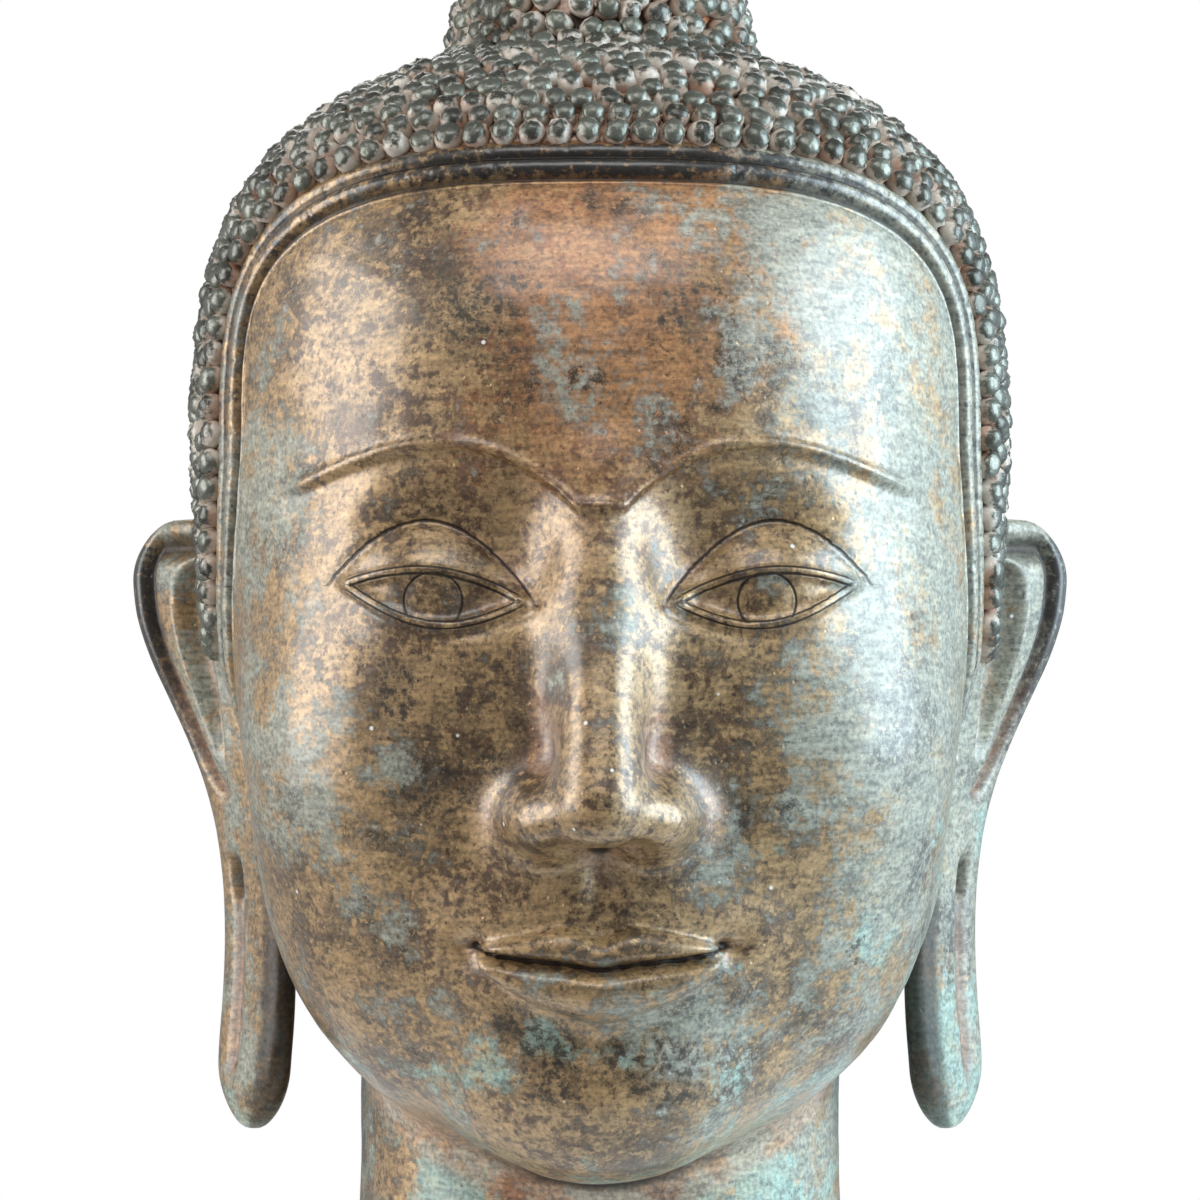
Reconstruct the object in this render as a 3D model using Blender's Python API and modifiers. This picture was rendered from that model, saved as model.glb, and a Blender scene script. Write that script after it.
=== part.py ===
"""A bronze Buddha head, cast in one piece and cut flat under the neck.

Metres, +Z up. The face looks along -Y, and the origin is the middle of the whole on the cut.
The form is a set of rounded masses that blend into one another. A sphere is wrapped onto them, the
brows, eyes and lips are carved into it, and the curled hair, the band along the hairline and the ears
are joined to it. The masses and the carving are shares of the head's own height, chin to crown, and
are measured from the point under the chin on the line between the ears: x to the side, y back, z up.
"""

import math
from collections import namedtuple

import bmesh
import bpy
import numpy as np
from mathutils import Matrix

# Driving sizes, in metres
HEAD_HEIGHT = 0.460
NECK_LENGTH = 0.080
HAIR_RISE = 0.0035
CURL_HEIGHT = 0.0095
CURL_PITCH = 0.0158
BAND_RADIUS = 0.0031
BAND_SPACING = 0.0070
BAND_INSET = 0.0027

# Finish of the cast bronze
BRONZE_COLOUR = (0.235, 0.155, 0.092, 1.0)
BRONZE_METALLIC = 0.85
BRONZE_ROUGHNESS = 0.42

# How finely the solid is drawn
FACE_COLUMNS = 160
FACE_ROWS = 180
FACE_TRIANGLES = 2480
EAR_COLUMNS = 48
EAR_ROWS = 72
EAR_TRIANGLES = 520
BAND_STEPS = 38
HAIRLINE_STEPS = 48
FACE_EASING = 12
HAIR_EASING = 72

# Masses of the head, as shares of its height, each with the width of the fillet where it joins
Mass = namedtuple("Mass", "centre radii power blend")
CRANIUM = Mass((0, 0.055, 0.605), (0.343, 0.398, 0.370), 2.35, 0)
CROWN = Mass((0, 0.055, 0.681), (0.340, 0.338, 0.275), 2.7, 0.030)
TOPKNOT = Mass((0, 0.070, 0.985), (0.120, 0.128, 0.150), 2.1, 0.035)
FACE = Mass((0, -0.075, 0.350), (0.308, 0.268, 0.350), 2.35, 0.090)
NECK = Mass((0, 0.050, 0), (0.219, 0.205, 1), 2.2, 0.025)
CHIN = Mass((0, -0.240, 0.090), (0.110, 0.098, 0.090), 2, 0.080)
CHEEK = Mass((0.165, -0.190, 0.370), (0.120, 0.115, 0.130), 2, 0.060)
MUZZLE = Mass((0, -0.262, 0.210), (0.125, 0.086, 0.090), 2, 0.050)
SOCKET = Mass((0.120, -0.378, 0.535), (0.098, 0.066, 0.052), 2, 0.055)
EYEBALL = Mass((0.137, -0.258, 0.495), (0.082, 0.080, 0.074), 2, 0.016)
NOSE_ROOT = Mass((0, -0.316, 0.585), (0.020, 0.020, 0.020), 2, 0.030)
NOSE_TIP = Mass((0, -0.404, 0.325), (0.037, 0.037, 0.037), 2, 0.052)
NOSTRIL_WING = Mass((0.045, -0.366, 0.312), (0.030, 0.040, 0.027), 2, 0.028)
NOSTRIL = Mass((0.029, -0.390, 0.281), (0.013, 0.022, 0.012), 2, 0.012)
NECK_TOP = 0.350
NECK_FOOT = -0.250
NECK_ROUNDING = 0.030
NECK_FLARE = 0.06

# Brows, as shares of the head's height: where the raised line runs, and how the surface falls below it
BROW_INNER = 0.020
BROW_OUTER = 0.262
BROW_LEVEL = 0.577
BROW_RISE = 0.046
BROW_DIP = 0.012
BROW_PEAK = 0.8
BROW_LINE = 0.0045
BROW_LINE_WIDTH = 0.006
BROW_SETBACK = 0.006
BROW_SETBACK_REACH = 0.030

# Eyes: half closed, with the lids' edges, the fold over them and the iris's outline
EYE_INNER = 0.066
EYE_OUTER = 0.208
EYE_LEVEL = 0.492
EYE_TILT = 0.014
UPPER_LID = 0.017
LOWER_LID = 0.024
LID_EDGE = 0.0045
LID_FOLD = 0.060
LID_FOLD_OVERHANG = 0.012
LID_FOLD_DEPTH = 0.004
LOWER_FOLD = 0.012
EYE_INSET = 0.0055
IRIS_DROP = 0.004
IRIS_RADIUS = 0.024
IRIS_DEPTH = 0.0025

# Mouth: the line between the lips, the lips' edges and fullness, and the hollows around them
MOUTH_LEVEL = 0.192
MOUTH_HALF = 0.104
MOUTH_CORNER_RISE = 0.011
MOUTH_MIDDLE_DIP = 0.004
UPPER_LIP = 0.034
UPPER_LIP_NOTCH = 0.008
UPPER_LIP_FULL = 0.013
LOWER_LIP = 0.044
LOWER_LIP_FULL = 0.017
LIP_EDGE = 0.003
LIP_PARTING = 0.009
CORNER_HOLLOW = 0.008
CORNER_HOLLOW_WIDTH = 0.013
LIP_CHANNEL = 0.006
LIP_CHANNEL_WIDTH = 0.012
CHIN_HOLLOW = 0.006
CHIN_HOLLOW_DROP = 0.022
NOSE_BASE = 0.288
CARVING_BACK = -0.160

# The hairline: an arch seen from the front, then a line down the side, under the ear and to the nape,
# by its degrees round from the front and its height. The band ends in front of the ear.
ARCH_HALF = 0.325
ARCH_SPRING = 0.620
ARCH_TOP = 0.867
ARCH_POWER = 3.5
SIDE_DEGREES = (66, 75, 100, 130, 155, 180)
SIDE_HEIGHTS = (0.460, 0.440, 0.420, 0.340, 0.280, 0.268)
BAND_FOOT = 0.370
BAND_FOOT_DEGREES = 69

# How far the grid of curls is gathered up onto the topknot
TOPKNOT_GATHER = 0.30

# The ear, by height from its tip to its top: its middle across and back, its half length and half
# thickness, and the degrees that its back edge is turned out
EAR_TIP = 0.007
EAR_TOP = 0.565
EAR_HEIGHTS = (0.007, 0.069, 0.124, 0.190, 0.250, 0.306, 0.352, 0.400, 0.450, 0.500, 0.565)
EAR_ACROSS = (0.316, 0.315, 0.310, 0.309, 0.313, 0.322, 0.334, 0.349, 0.366, 0.374, 0.375)
EAR_BACK = (0.006, 0.006, 0.006, 0.006, 0.008, 0.012, 0.014, 0.015, 0.015, 0.016, 0.018)
EAR_LENGTHS = (0.054, 0.061, 0.062, 0.060, 0.057, 0.058, 0.063, 0.069, 0.075, 0.076, 0.068)
EAR_DEPTHS = (0.019, 0.019, 0.018, 0.017, 0.017, 0.017, 0.017, 0.017, 0.017, 0.017, 0.017)
EAR_TURNS = (30, 30, 30, 30, 31, 33, 37, 42, 46, 48, 48)
EAR_POWER = 2.6
EAR_TIP_ROUNDING = 0.060
EAR_TIP_POINT = 0.68
EAR_TOP_ROUNDING = 0.060

# The ear's relief: a drop-shaped bowl, a groove inside the rim and the slit of the stretched lobe
BOWL_FOOT = 0.325
BOWL_TOP = 0.530
BOWL_ALONG = -0.008
BOWL_HALF = 0.029
BOWL_DEPTH = 0.020
GROOVE_INSET = 0.023
GROOVE_WIDTH = 0.006
GROOVE_DEPTH = 0.009
GROOVE_FRONT = -0.030
SLIT_FOOT = 0.075
SLIT_TOP = 0.255
SLIT_HALF = 0.010
SLIT_DEPTH = 0.016


def share(metres):
    """A real size as a share of the head's height."""
    return metres / HEAD_HEIGHT


def distance_to_mass(points, mass):
    """About how far each point is outside a rounded mass, below zero inside it."""
    scaled = np.abs(points - np.array(mass.centre)) / np.array(mass.radii)
    reach = (scaled**mass.power).sum(axis=1) ** (1 / mass.power) + 1e-9
    slope = ((scaled / reach[:, None]) ** (mass.power - 1) / np.array(mass.radii)) ** 2
    return (reach - 1) / np.sqrt(slope.sum(axis=1))


def distance_to_ridge(points, first, last):
    """How far each point is outside a round rod whose radius runs from one mass's to the other's."""
    start, run = np.array(first.centre), np.subtract(last.centre, first.centre)
    along = np.clip((points - start) @ run / (run @ run), 0, 1)
    radius = first.radii[0] + along * (last.radii[0] - first.radii[0])
    return np.linalg.norm(points - start - along[:, None] * run, axis=1) - radius


def joined(first, second, blend):
    """The distance to two forms together, with a fillet of about this width between them."""
    mix = np.clip(0.5 + 0.5 * (second - first) / blend, 0, 1)
    return second * (1 - mix) + first * mix - blend * mix * (1 - mix)


def hollowed(first, second, blend):
    """The distance to the first form less the second, with a soft edge."""
    return -joined(-first, second, blend)


def with_mass(form, points, mass):
    """The distance to a form with one more mass on it."""
    return joined(form, distance_to_mass(points, mass), mass.blend)


def without_mass(form, points, mass):
    """The distance to a form with a mass scooped out of it."""
    return hollowed(form, distance_to_mass(points, mass), mass.blend)


def neck_form(points):
    """A slightly squared column that widens towards the cut."""
    widen = 1 + NECK_FLARE * np.clip(-points[:, 2:] / share(NECK_LENGTH), 0, 1.5) ** 2
    straight = (points - NECK.centre) / widen * (1, 1, 0)
    ends = np.maximum(NECK_FOOT - points[:, 2], points[:, 2] - NECK_TOP)
    return hollowed(distance_to_mass(straight + NECK.centre, NECK), -ends, NECK_ROUNDING)


def skull_form(points):
    """The skull, the topknot and the long mass of the face on the neck, before any feature."""
    points = np.column_stack([np.abs(points[:, 0]), points[:, 1:]])
    form = distance_to_mass(points, CRANIUM)
    for mass in (CROWN, TOPKNOT, FACE):
        form = with_mass(form, points, mass)
    return joined(form, neck_form(points), NECK.blend)


def nose_form(points):
    """A ridge from between the brows to a rounded tip, with a wing and a nostril on each side."""
    ridge = distance_to_ridge(points, NOSE_ROOT, NOSE_TIP)
    return without_mass(with_mass(ridge, points, NOSTRIL_WING), points, NOSTRIL)


def head_form(points):
    """The bald head with its neck: the distance of each point from its surface."""
    form = skull_form(points)
    points = np.column_stack([np.abs(points[:, 0]), points[:, 1:]])
    for mass in (CHIN, CHEEK, MUZZLE):
        form = with_mass(form, points, mass)
    form = with_mass(without_mass(form, points, SOCKET), points, EYEBALL)
    return joined(form, nose_form(points), NOSE_TIP.blend)


def hair_form(points):
    """The surface that the curls stand on."""
    return skull_form(points) - share(HAIR_RISE)


def outward(points, form, step=0.002):
    """The unit direction out of the form at each point."""
    here = form(points)
    slope = np.stack([form(points + step * axis) - here for axis in np.eye(3)], axis=1)
    return slope / (np.linalg.norm(slope, axis=1, keepdims=True) + 1e-12)


def dropped(starts, directions, form, reach=0.9, rounds=45):
    """The point where a ray that comes in towards each start meets the form's outer side."""
    length = np.full(len(starts), reach)
    for _ in range(rounds):
        length -= 0.8 * form(starts + length[:, None] * directions)
    return starts + length[:, None] * directions


def eased(points, edges, form, rounds):
    """The points spread evenly: each goes half way to its neighbours' middle, and back onto the form."""
    ends = np.concatenate([edges, edges[:, ::-1]])
    count = np.bincount(ends[:, 0], minlength=len(points))[:, None]
    for _ in range(rounds):
        sums = [np.bincount(ends[:, 0], points[ends[:, 1], axis], len(points)) for axis in range(3)]
        points = 0.5 * points + 0.5 * np.stack(sums, axis=1) / count
        points = points - form(points)[:, None] * outward(points, form)
    return points


def hump(distance, width):
    """One at zero distance, falling away softly over the width."""
    return np.exp(-((distance / width) ** 2))


def within(value, low, high, soft):
    """One between low and high, with soft ends."""
    return 0.25 * (1 + np.tanh((value - low) / soft / 2)) * (1 - np.tanh((value - high) / soft / 2))


def brow_relief(across, height):
    """A raised line that arches over each eye, with the surface set back under it."""
    turn = np.clip((across - BROW_INNER) / (BROW_OUTER - BROW_INNER), 0, 1)
    line = BROW_LEVEL + BROW_RISE * np.sin(math.pi * turn**BROW_PEAK)
    line += BROW_DIP * (1.33 * turn - 1)
    over = height - line
    ends = within(across, BROW_INNER - 0.02, BROW_OUTER, BROW_LINE_WIDTH)
    below = np.minimum(over, 0)
    setback = (over < 0) * np.exp(below / BROW_SETBACK_REACH) * (1 - np.exp(below / BROW_LINE))
    return ends * (BROW_LINE * hump(over, BROW_LINE_WIDTH) - BROW_SETBACK * setback)


def eye_lines(across):
    """The heights of the upper lid's edge, the lower lid's edge and the fold over the lid."""
    width = EYE_OUTER - EYE_INNER
    turn = np.clip((across - EYE_INNER) / width, 0, 1)
    corner = EYE_LEVEL + EYE_TILT * (turn - 0.3)
    wide = (across - EYE_INNER + LID_FOLD_OVERHANG) / (width + 2.5 * LID_FOLD_OVERHANG)
    upper = corner + UPPER_LID * np.sin(math.pi * turn) ** 0.9
    lower = corner - LOWER_LID * np.sin(math.pi * turn)
    return upper, lower, corner + LID_FOLD * np.sin(math.pi * np.clip(wide, 0, 1)) ** 0.8


def eye_relief(across, height):
    """Lids that stand over the eyeball, a fold above them and the iris's outline."""
    upper, lower, fold = eye_lines(across)
    span = within(across, EYE_INNER - 0.004, EYE_OUTER + 0.006, 0.003)
    inside = within(height, lower, upper, 0.0015) * within(across, EYE_INNER, EYE_OUTER, 0.003)
    rims = hump(height - upper, LID_EDGE) + 0.8 * hump(height - lower, LID_EDGE)
    folds = hump(height - fold, 0.0035) + 0.5 * hump(height - lower + LOWER_FOLD, LID_FOLD_DEPTH)
    middle = 0.5 * (EYE_INNER + EYE_OUTER)
    ring = np.hypot(across - middle, height - EYE_LEVEL + IRIS_DROP) - IRIS_RADIUS
    sunk = EYE_INSET + IRIS_DEPTH * hump(ring, 0.003)
    return span * (LID_EDGE * rims - LID_FOLD_DEPTH * folds) - inside * sunk


def lip_lines(across):
    """The heights of the line between the lips, the upper lip's edge and the lower lip's edge."""
    turn = np.clip(across / MOUTH_HALF, 0, 1)
    line = MOUTH_LEVEL + MOUTH_CORNER_RISE * turn**2.5 - MOUTH_MIDDLE_DIP * hump(across, 0.022)
    upper = line + UPPER_LIP * (1 - turn**1.7) ** 0.9 - UPPER_LIP_NOTCH * hump(across, 0.015)
    lower = line - LOWER_LIP * (1 - turn**2.2) ** 0.8
    return line, upper, lower


def lip_relief(across, height):
    """Two full lips with a crisp edge, the line between them and the hollows round the mouth."""
    line, upper, lower = lip_lines(across)
    rise = np.clip((height - line) / (upper - line + 1e-6), 0, 1)
    fall = np.clip((line - height) / (line - lower + 1e-6), 0, 1)
    full = UPPER_LIP_FULL * np.sin(math.pi * rise**0.8) ** 0.7
    full += LOWER_LIP_FULL * np.sin(math.pi * fall**0.8) ** 0.7
    full += LIP_EDGE * within(height, lower, upper, 0.0015)
    full *= within(across, -1, MOUTH_HALF, 0.004)
    parting = LIP_PARTING * hump(height - line, 0.0045) * within(across, -1, MOUTH_HALF + 0.006, 0.004)
    corner = np.hypot(across - MOUTH_HALF - 0.004, height - MOUTH_LEVEL - MOUTH_CORNER_RISE)
    channel = hump(across, LIP_CHANNEL_WIDTH)
    channel *= within(height, MOUTH_LEVEL + 0.046, NOSE_BASE - 0.008, 0.006)
    under = hump(across, 0.060) * hump(height - lower + CHIN_HOLLOW_DROP, 0.016)
    hollows = CORNER_HOLLOW * hump(corner, CORNER_HOLLOW_WIDTH) + LIP_CHANNEL * channel
    return full - parting - hollows - CHIN_HOLLOW * under


def carved(points):
    """How far the carving lifts each point of the face out of the masses, as a share."""
    across, height = np.abs(points[:, 0]), points[:, 2]
    front = within(points[:, 1], -1, CARVING_BACK, 0.012)
    return front * (brow_relief(across, height) + eye_relief(across, height) + lip_relief(across, height))


def to_metres(points):
    """Shares of the head's height as places in metres, with the cut under the neck at zero height."""
    return points * HEAD_HEIGHT + np.array([0, 0, NECK_LENGTH])


def set_places(builder, points):
    """Moves the builder's vertices to these shares of the height, with its faces pointing out."""
    for vertex, place in zip(builder.verts, to_metres(points)):
        vertex.co = place
    if builder.calc_volume(signed=True) < 0:
        bmesh.ops.reverse_faces(builder, faces=builder.faces)


def edge_ends(builder):
    """The pairs of vertices that edges join."""
    builder.verts.index_update()
    return np.array([[vertex.index for vertex in edge.verts] for edge in builder.edges])


def mesh_object(name, builder, collection):
    """A new smooth object from the builder."""
    mesh = bpy.data.meshes.new(name)
    builder.to_mesh(mesh)
    builder.free()
    mesh.shade_smooth()
    made = bpy.data.objects.new(name, mesh)
    collection.objects.link(made)
    return made


def head_rays(longitude, depth):
    """Where each ray starts and runs, for depths from 0 at the crown to 1 at the foot.

    Columns crowd together at the face, and rows at its features. The last rows close the foot, which
    lies below the cut.
    """
    turn = longitude - 0.62 * np.sin(longitude)
    stations = (0, 0.13, 0.19, 0.76, 0.84, 0.90, 0.95, 1)
    foot = -1.35 * share(NECK_LENGTH)
    level = np.interp(depth, stations, (0.60, 0.60, 0.62, 0.12, 0.10, 0.06, foot, foot))
    pitch = np.radians(np.interp(depth, stations, (90, 36, 8, -2, -20, -34, -6, 0)))
    starts = np.column_stack([np.zeros_like(turn), np.full_like(turn, CRANIUM.centre[1]), level])
    flat = np.cos(pitch)
    runs = np.column_stack([flat * np.sin(turn), -flat * np.cos(turn), np.sin(pitch)])
    return starts, runs


def bald_head(collection):
    """A sphere wrapped onto the masses and carved."""
    builder = bmesh.new()
    bmesh.ops.create_uvsphere(builder, u_segments=FACE_COLUMNS, v_segments=FACE_ROWS, radius=1)
    unit = np.array([vertex.co for vertex in builder.verts])
    depth = np.arccos(np.clip(unit[:, 2], -1, 1)) / math.pi
    starts, runs = head_rays(np.arctan2(unit[:, 0], -unit[:, 1]), depth)
    points = dropped(starts, runs, head_form)
    foot = depth > 0.95
    shut = np.clip((1 - depth) / 0.05, 0, 1)[:, None]
    points[foot] = (starts + shut * (points - starts))[foot]
    even = eased(points, edge_ends(builder), head_form, FACE_EASING)
    loose = np.clip((0.94 - depth) / 0.02, 0, 1)
    points += loose[:, None] * (even - points)
    points += (loose * carved(points))[:, None] * outward(points, head_form)
    set_places(builder, points)
    return mesh_object("buddha_head", builder, collection)


def curled_hair(collection):
    """A cube's grid wrapped onto the skull, with every other corner pulled out into a curl."""
    girth = math.pi * (CRANIUM.radii[0] + CRANIUM.radii[1])
    cells = 2 * round(girth / share(CURL_PITCH) * math.sqrt(2) / 8)
    builder = bmesh.new()
    bmesh.ops.create_cube(builder, size=2)
    bmesh.ops.subdivide_edges(builder, edges=builder.edges, cuts=cells - 1, use_grid_fill=True)
    cube = np.array([vertex.co for vertex in builder.verts])
    curl = np.round((cube + 1) * cells / 2).astype(int).sum(axis=1) % 2
    for face in list(builder.faces):
        low = [vertex for vertex in face.verts if not curl[vertex.index]]
        bmesh.utils.face_split(face, low[0], low[1])
    runs = np.tan(cube * math.pi / 4)
    runs /= np.linalg.norm(runs, axis=1, keepdims=True)
    lean = np.arccos(np.clip(runs[:, 2], -1, 1))
    drawn = lean - (lean < math.pi / 2) * TOPKNOT_GATHER * np.sin(2 * lean)
    runs[:, :2] *= (np.sin(drawn) / np.maximum(np.sin(lean), 1e-6))[:, None]
    runs[:, 2] = np.cos(drawn)
    starts = np.tile(CRANIUM.centre, (len(runs), 1)).astype(float)
    points = dropped(starts, runs, hair_form)
    points = eased(points, edge_ends(builder), hair_form, HAIR_EASING)
    points += (curl * share(CURL_HEIGHT))[:, None] * outward(points, hair_form)
    set_places(builder, points)
    return mesh_object("curled_hair", builder, collection)


def hairline_arch(steps):
    """Places along the arch over the forehead, from one temple to the other, traced from the front."""
    turns = np.linspace(math.pi, 0, steps)
    across = ARCH_HALF * np.sign(np.cos(turns)) * np.abs(np.cos(turns)) ** (2 / ARCH_POWER)
    up = ARCH_SPRING + (ARCH_TOP - ARCH_SPRING) * np.abs(np.sin(turns)) ** (2 / ARCH_POWER)
    starts = np.column_stack([across, np.zeros(steps), up])
    return dropped(starts, np.tile((0.0, -1.0, 0.0), (steps, 1)), skull_form)


def side_line(temple, degrees, heights, steps):
    """Places from the temple on, along a line by degrees round from the front and heights."""
    first = math.degrees(math.atan2(temple[0], CRANIUM.centre[1] - temple[1]))
    degrees, heights = np.append(first, degrees), np.append(temple[2], heights)
    length = np.cumsum(np.append(0, np.hypot(np.diff(degrees) / 100, np.diff(heights))))
    along = np.linspace(0, length[-1], steps + 1)[1:]
    turns = np.radians(np.interp(along, length, degrees))
    up = np.interp(along, length, heights)
    starts = np.column_stack([0 * turns, np.full(steps, CRANIUM.centre[1]), up])
    return dropped(starts, np.column_stack([np.sin(turns), -np.cos(turns), 0 * turns]), skull_form)


def with_both_sides(arch, side):
    """One line: up one side, over the arch and down the other side."""
    return np.concatenate([side[::-1] * (-1, 1, 1), arch, side])


def hairline_cutter(collection):
    """A cone from inside the skull through the whole hairline, closed far in front and below."""
    arch = hairline_arch(HAIRLINE_STEPS)
    side = side_line(arch[-1], SIDE_DEGREES, SIDE_HEIGHTS, HAIRLINE_STEPS)
    loop = with_both_sides(arch, side)[1:]
    builder = bmesh.new()
    bmesh.ops.create_cone(
        builder, cap_ends=True, cap_tris=True, segments=len(loop), radius1=1, radius2=0, depth=1
    )
    unit = np.array([vertex.co for vertex in builder.verts])
    step = np.round(np.arctan2(unit[:, 1], unit[:, 0]) / (2 * math.pi) * len(loop)).astype(int) % len(loop)
    centre = np.array(CRANIUM.centre)
    points = centre + 3 * (loop[step] - centre)
    middle = np.hypot(unit[:, 0], unit[:, 1]) < 0.5
    points[middle] = np.where(unit[middle, 2:] > 0, centre, centre + (0, -2.2, -2.2))
    set_places(builder, points)
    return mesh_object("hairline_cutter", builder, collection)


def tube(name, path, radius, collection):
    """A closed round tube along a path of shares of the height, as a mesh."""
    curve = bpy.data.curves.new(name, "CURVE")
    curve.dimensions = "3D"
    curve.bevel_depth = radius
    curve.bevel_resolution = 1
    curve.use_fill_caps = True
    spline = curve.splines.new("POLY")
    spline.points.add(len(path) - 1)
    for point, place in zip(spline.points, to_metres(path)):
        point.co = (*place, 1)
    rod = bpy.data.objects.new(name, curve)
    collection.objects.link(rod)
    mesh = bpy.data.meshes.new_from_object(rod.evaluated_get(bpy.context.evaluated_depsgraph_get()))
    builder = bmesh.new()
    builder.from_mesh(mesh)
    bmesh.ops.remove_doubles(builder, verts=builder.verts, dist=0.00001)
    bmesh.ops.recalc_face_normals(builder, faces=builder.faces)
    bpy.data.objects.remove(rod)
    bpy.data.curves.remove(curve)
    bpy.data.meshes.remove(mesh)
    return mesh_object(name, builder, collection)


def hairline_bands(collection):
    """Two rounded ridges side by side along the hairline, down to a foot in front of each ear."""
    arch = hairline_arch(BAND_STEPS)
    side = side_line(arch[-1], [BAND_FOOT_DEGREES], [BAND_FOOT], BAND_STEPS // 4)
    path = with_both_sides(arch, side)
    inward = np.cross(np.gradient(path, axis=0), outward(path, skull_form))
    inward /= -np.linalg.norm(inward, axis=1, keepdims=True) * np.sign(inward[len(path) // 2, 2])
    bands = []
    for number in (0, 1):
        line = path + inward * share(BAND_INSET + BAND_SPACING * number)
        line -= outward(line, head_form) * head_form(line)[:, None]
        bands.append(tube(f"hairline_band_{number + 1}", line, BAND_RADIUS, collection))
    return bands


def ear_relief(along, height, length):
    """How deep the ear's outer face is hollowed, for places along its length and height."""
    drop = np.clip((height - BOWL_FOOT) / (BOWL_TOP - BOWL_FOOT), 0, 1)
    width = BOWL_HALF * drop**0.7 * np.sqrt(1 - drop**5) + 0.001
    bowl = BOWL_DEPTH * (0.5 - 0.5 * np.tanh((np.abs(along - BOWL_ALONG) - width) / 0.006))
    bowl *= within(height, BOWL_FOOT, BOWL_TOP, 0.004)
    edge = np.minimum(length - along, EAR_TOP - height)
    groove = GROOVE_DEPTH * hump(edge - GROOVE_INSET, GROOVE_WIDTH)
    groove *= within(height, BOWL_FOOT, EAR_TOP, 0.008) * within(along, GROOVE_FRONT, 1, 0.008)
    slit = SLIT_DEPTH * hump(along, SLIT_HALF) * within(height, SLIT_FOOT, SLIT_TOP, 0.005)
    return bowl + groove + slit


def long_ear(collection):
    """A sphere drawn out to one long ear, from the lobe's tip to the rim's top, with its relief."""
    builder = bmesh.new()
    bmesh.ops.create_uvsphere(builder, u_segments=EAR_COLUMNS, v_segments=EAR_ROWS, radius=1)
    unit = np.array([vertex.co for vertex in builder.verts])
    height = EAR_TIP + (EAR_TOP - EAR_TIP) * (0.5 + np.arcsin(np.clip(unit[:, 2], -1, 1)) / math.pi)
    low = np.clip((height - EAR_TIP) / EAR_TIP_ROUNDING, 0, 1)
    high = np.clip((EAR_TOP - height) / EAR_TOP_ROUNDING, 0, 1)
    swell = (1 - (1 - low) ** 2) ** EAR_TIP_POINT * np.sqrt(1 - (1 - high) ** 2)
    across, back, length, depth, turn = (
        np.interp(height, EAR_HEIGHTS, sizes)
        for sizes in (EAR_ACROSS, EAR_BACK, EAR_LENGTHS, EAR_DEPTHS, EAR_TURNS)
    )
    round_section = np.hypot(unit[:, 0], unit[:, 1]) + 1e-9
    rear, out = unit[:, 1] / round_section, unit[:, 0] / round_section
    along = np.sign(rear) * np.abs(rear) ** (2 / EAR_POWER) * length * swell
    squared = np.sign(out) * np.abs(out) ** (2 / EAR_POWER)
    thick = squared * depth * swell**0.6
    thick -= np.maximum(squared, 0) * ear_relief(along, height, length * swell)
    turn = np.radians(turn)
    points = np.column_stack([
        across + along * np.sin(turn) + thick * np.cos(turn),
        back + along * np.cos(turn) - thick * np.sin(turn),
        height,
    ])
    set_places(builder, points)
    return mesh_object("ears", builder, collection)


def block_below(collection):
    """A block whose top is the cut under the neck."""
    builder = bmesh.new()
    bmesh.ops.create_cube(builder, size=HEAD_HEIGHT)
    bmesh.ops.translate(builder, verts=builder.verts, vec=(0, 0, -0.5 * HEAD_HEIGHT))
    return mesh_object("cut_under_the_neck", builder, collection)


def add_decimate(target, triangles, symmetric):
    """Thins the mesh to about this many triangles, most of them where the surface bends."""
    now = sum(len(face.vertices) - 2 for face in target.data.polygons)
    thin = target.modifiers.new("thin", "DECIMATE")
    thin.ratio = triangles / now
    thin.use_symmetry = symmetric
    thin.symmetry_axis = "X"


def add_boolean(target, tool, operation):
    """Joins the tool to the target, or cuts it away."""
    cut = target.modifiers.new(tool.name, "BOOLEAN")
    cut.object = tool
    cut.operation = operation
    cut.solver = "EXACT"
    tool.hide_render = True
    tool.display_type = "WIRE"


def centre_depth(head, hair):
    """Slides every shape so that the nose's tip and the back of the hair are as far from the origin."""
    thinned = head.evaluated_get(bpy.context.evaluated_depsgraph_get())
    front = min(corner[1] for corner in thinned.bound_box)
    back = max(corner[1] for corner in hair.bound_box)
    slide = Matrix.Translation((0, -0.5 * (front + back), 0))
    for made in bpy.data.objects:
        made.data.transform(slide)


def bronze():
    """Cast bronze, dark brown and rubbed to a low shine."""
    material = bpy.data.materials.new("Cast bronze, brown patina")
    material.use_nodes = True
    shader = material.node_tree.nodes["Principled BSDF"]
    shader.inputs["Base Color"].default_value = BRONZE_COLOUR
    shader.inputs["Metallic"].default_value = BRONZE_METALLIC
    shader.inputs["Roughness"].default_value = BRONZE_ROUGHNESS
    return material


def main():
    for old in list(bpy.data.objects):
        bpy.data.objects.remove(old)
    parts = bpy.data.collections.new("Bronze Buddha head")
    cutters = bpy.data.collections.new("Cutters and joined shapes")
    for collection in (parts, cutters):
        bpy.context.scene.collection.children.link(collection)

    head = bald_head(parts)
    head.data.materials.append(bronze())
    add_decimate(head, FACE_TRIANGLES, symmetric=True)
    hair = curled_hair(cutters)
    bands = hairline_bands(cutters)
    ears = long_ear(cutters)
    cutter = hairline_cutter(cutters)
    below = block_below(cutters)
    centre_depth(head, hair)

    add_decimate(ears, EAR_TRIANGLES, symmetric=False)
    pair = ears.modifiers.new("pair", "MIRROR")
    pair.use_mirror_merge = False
    add_boolean(hair, cutter, "DIFFERENCE")
    for shape in (hair, *bands, ears):
        add_boolean(head, shape, "UNION")
    add_boolean(head, below, "DIFFERENCE")


if __name__ == "__main__":
    main()
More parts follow.
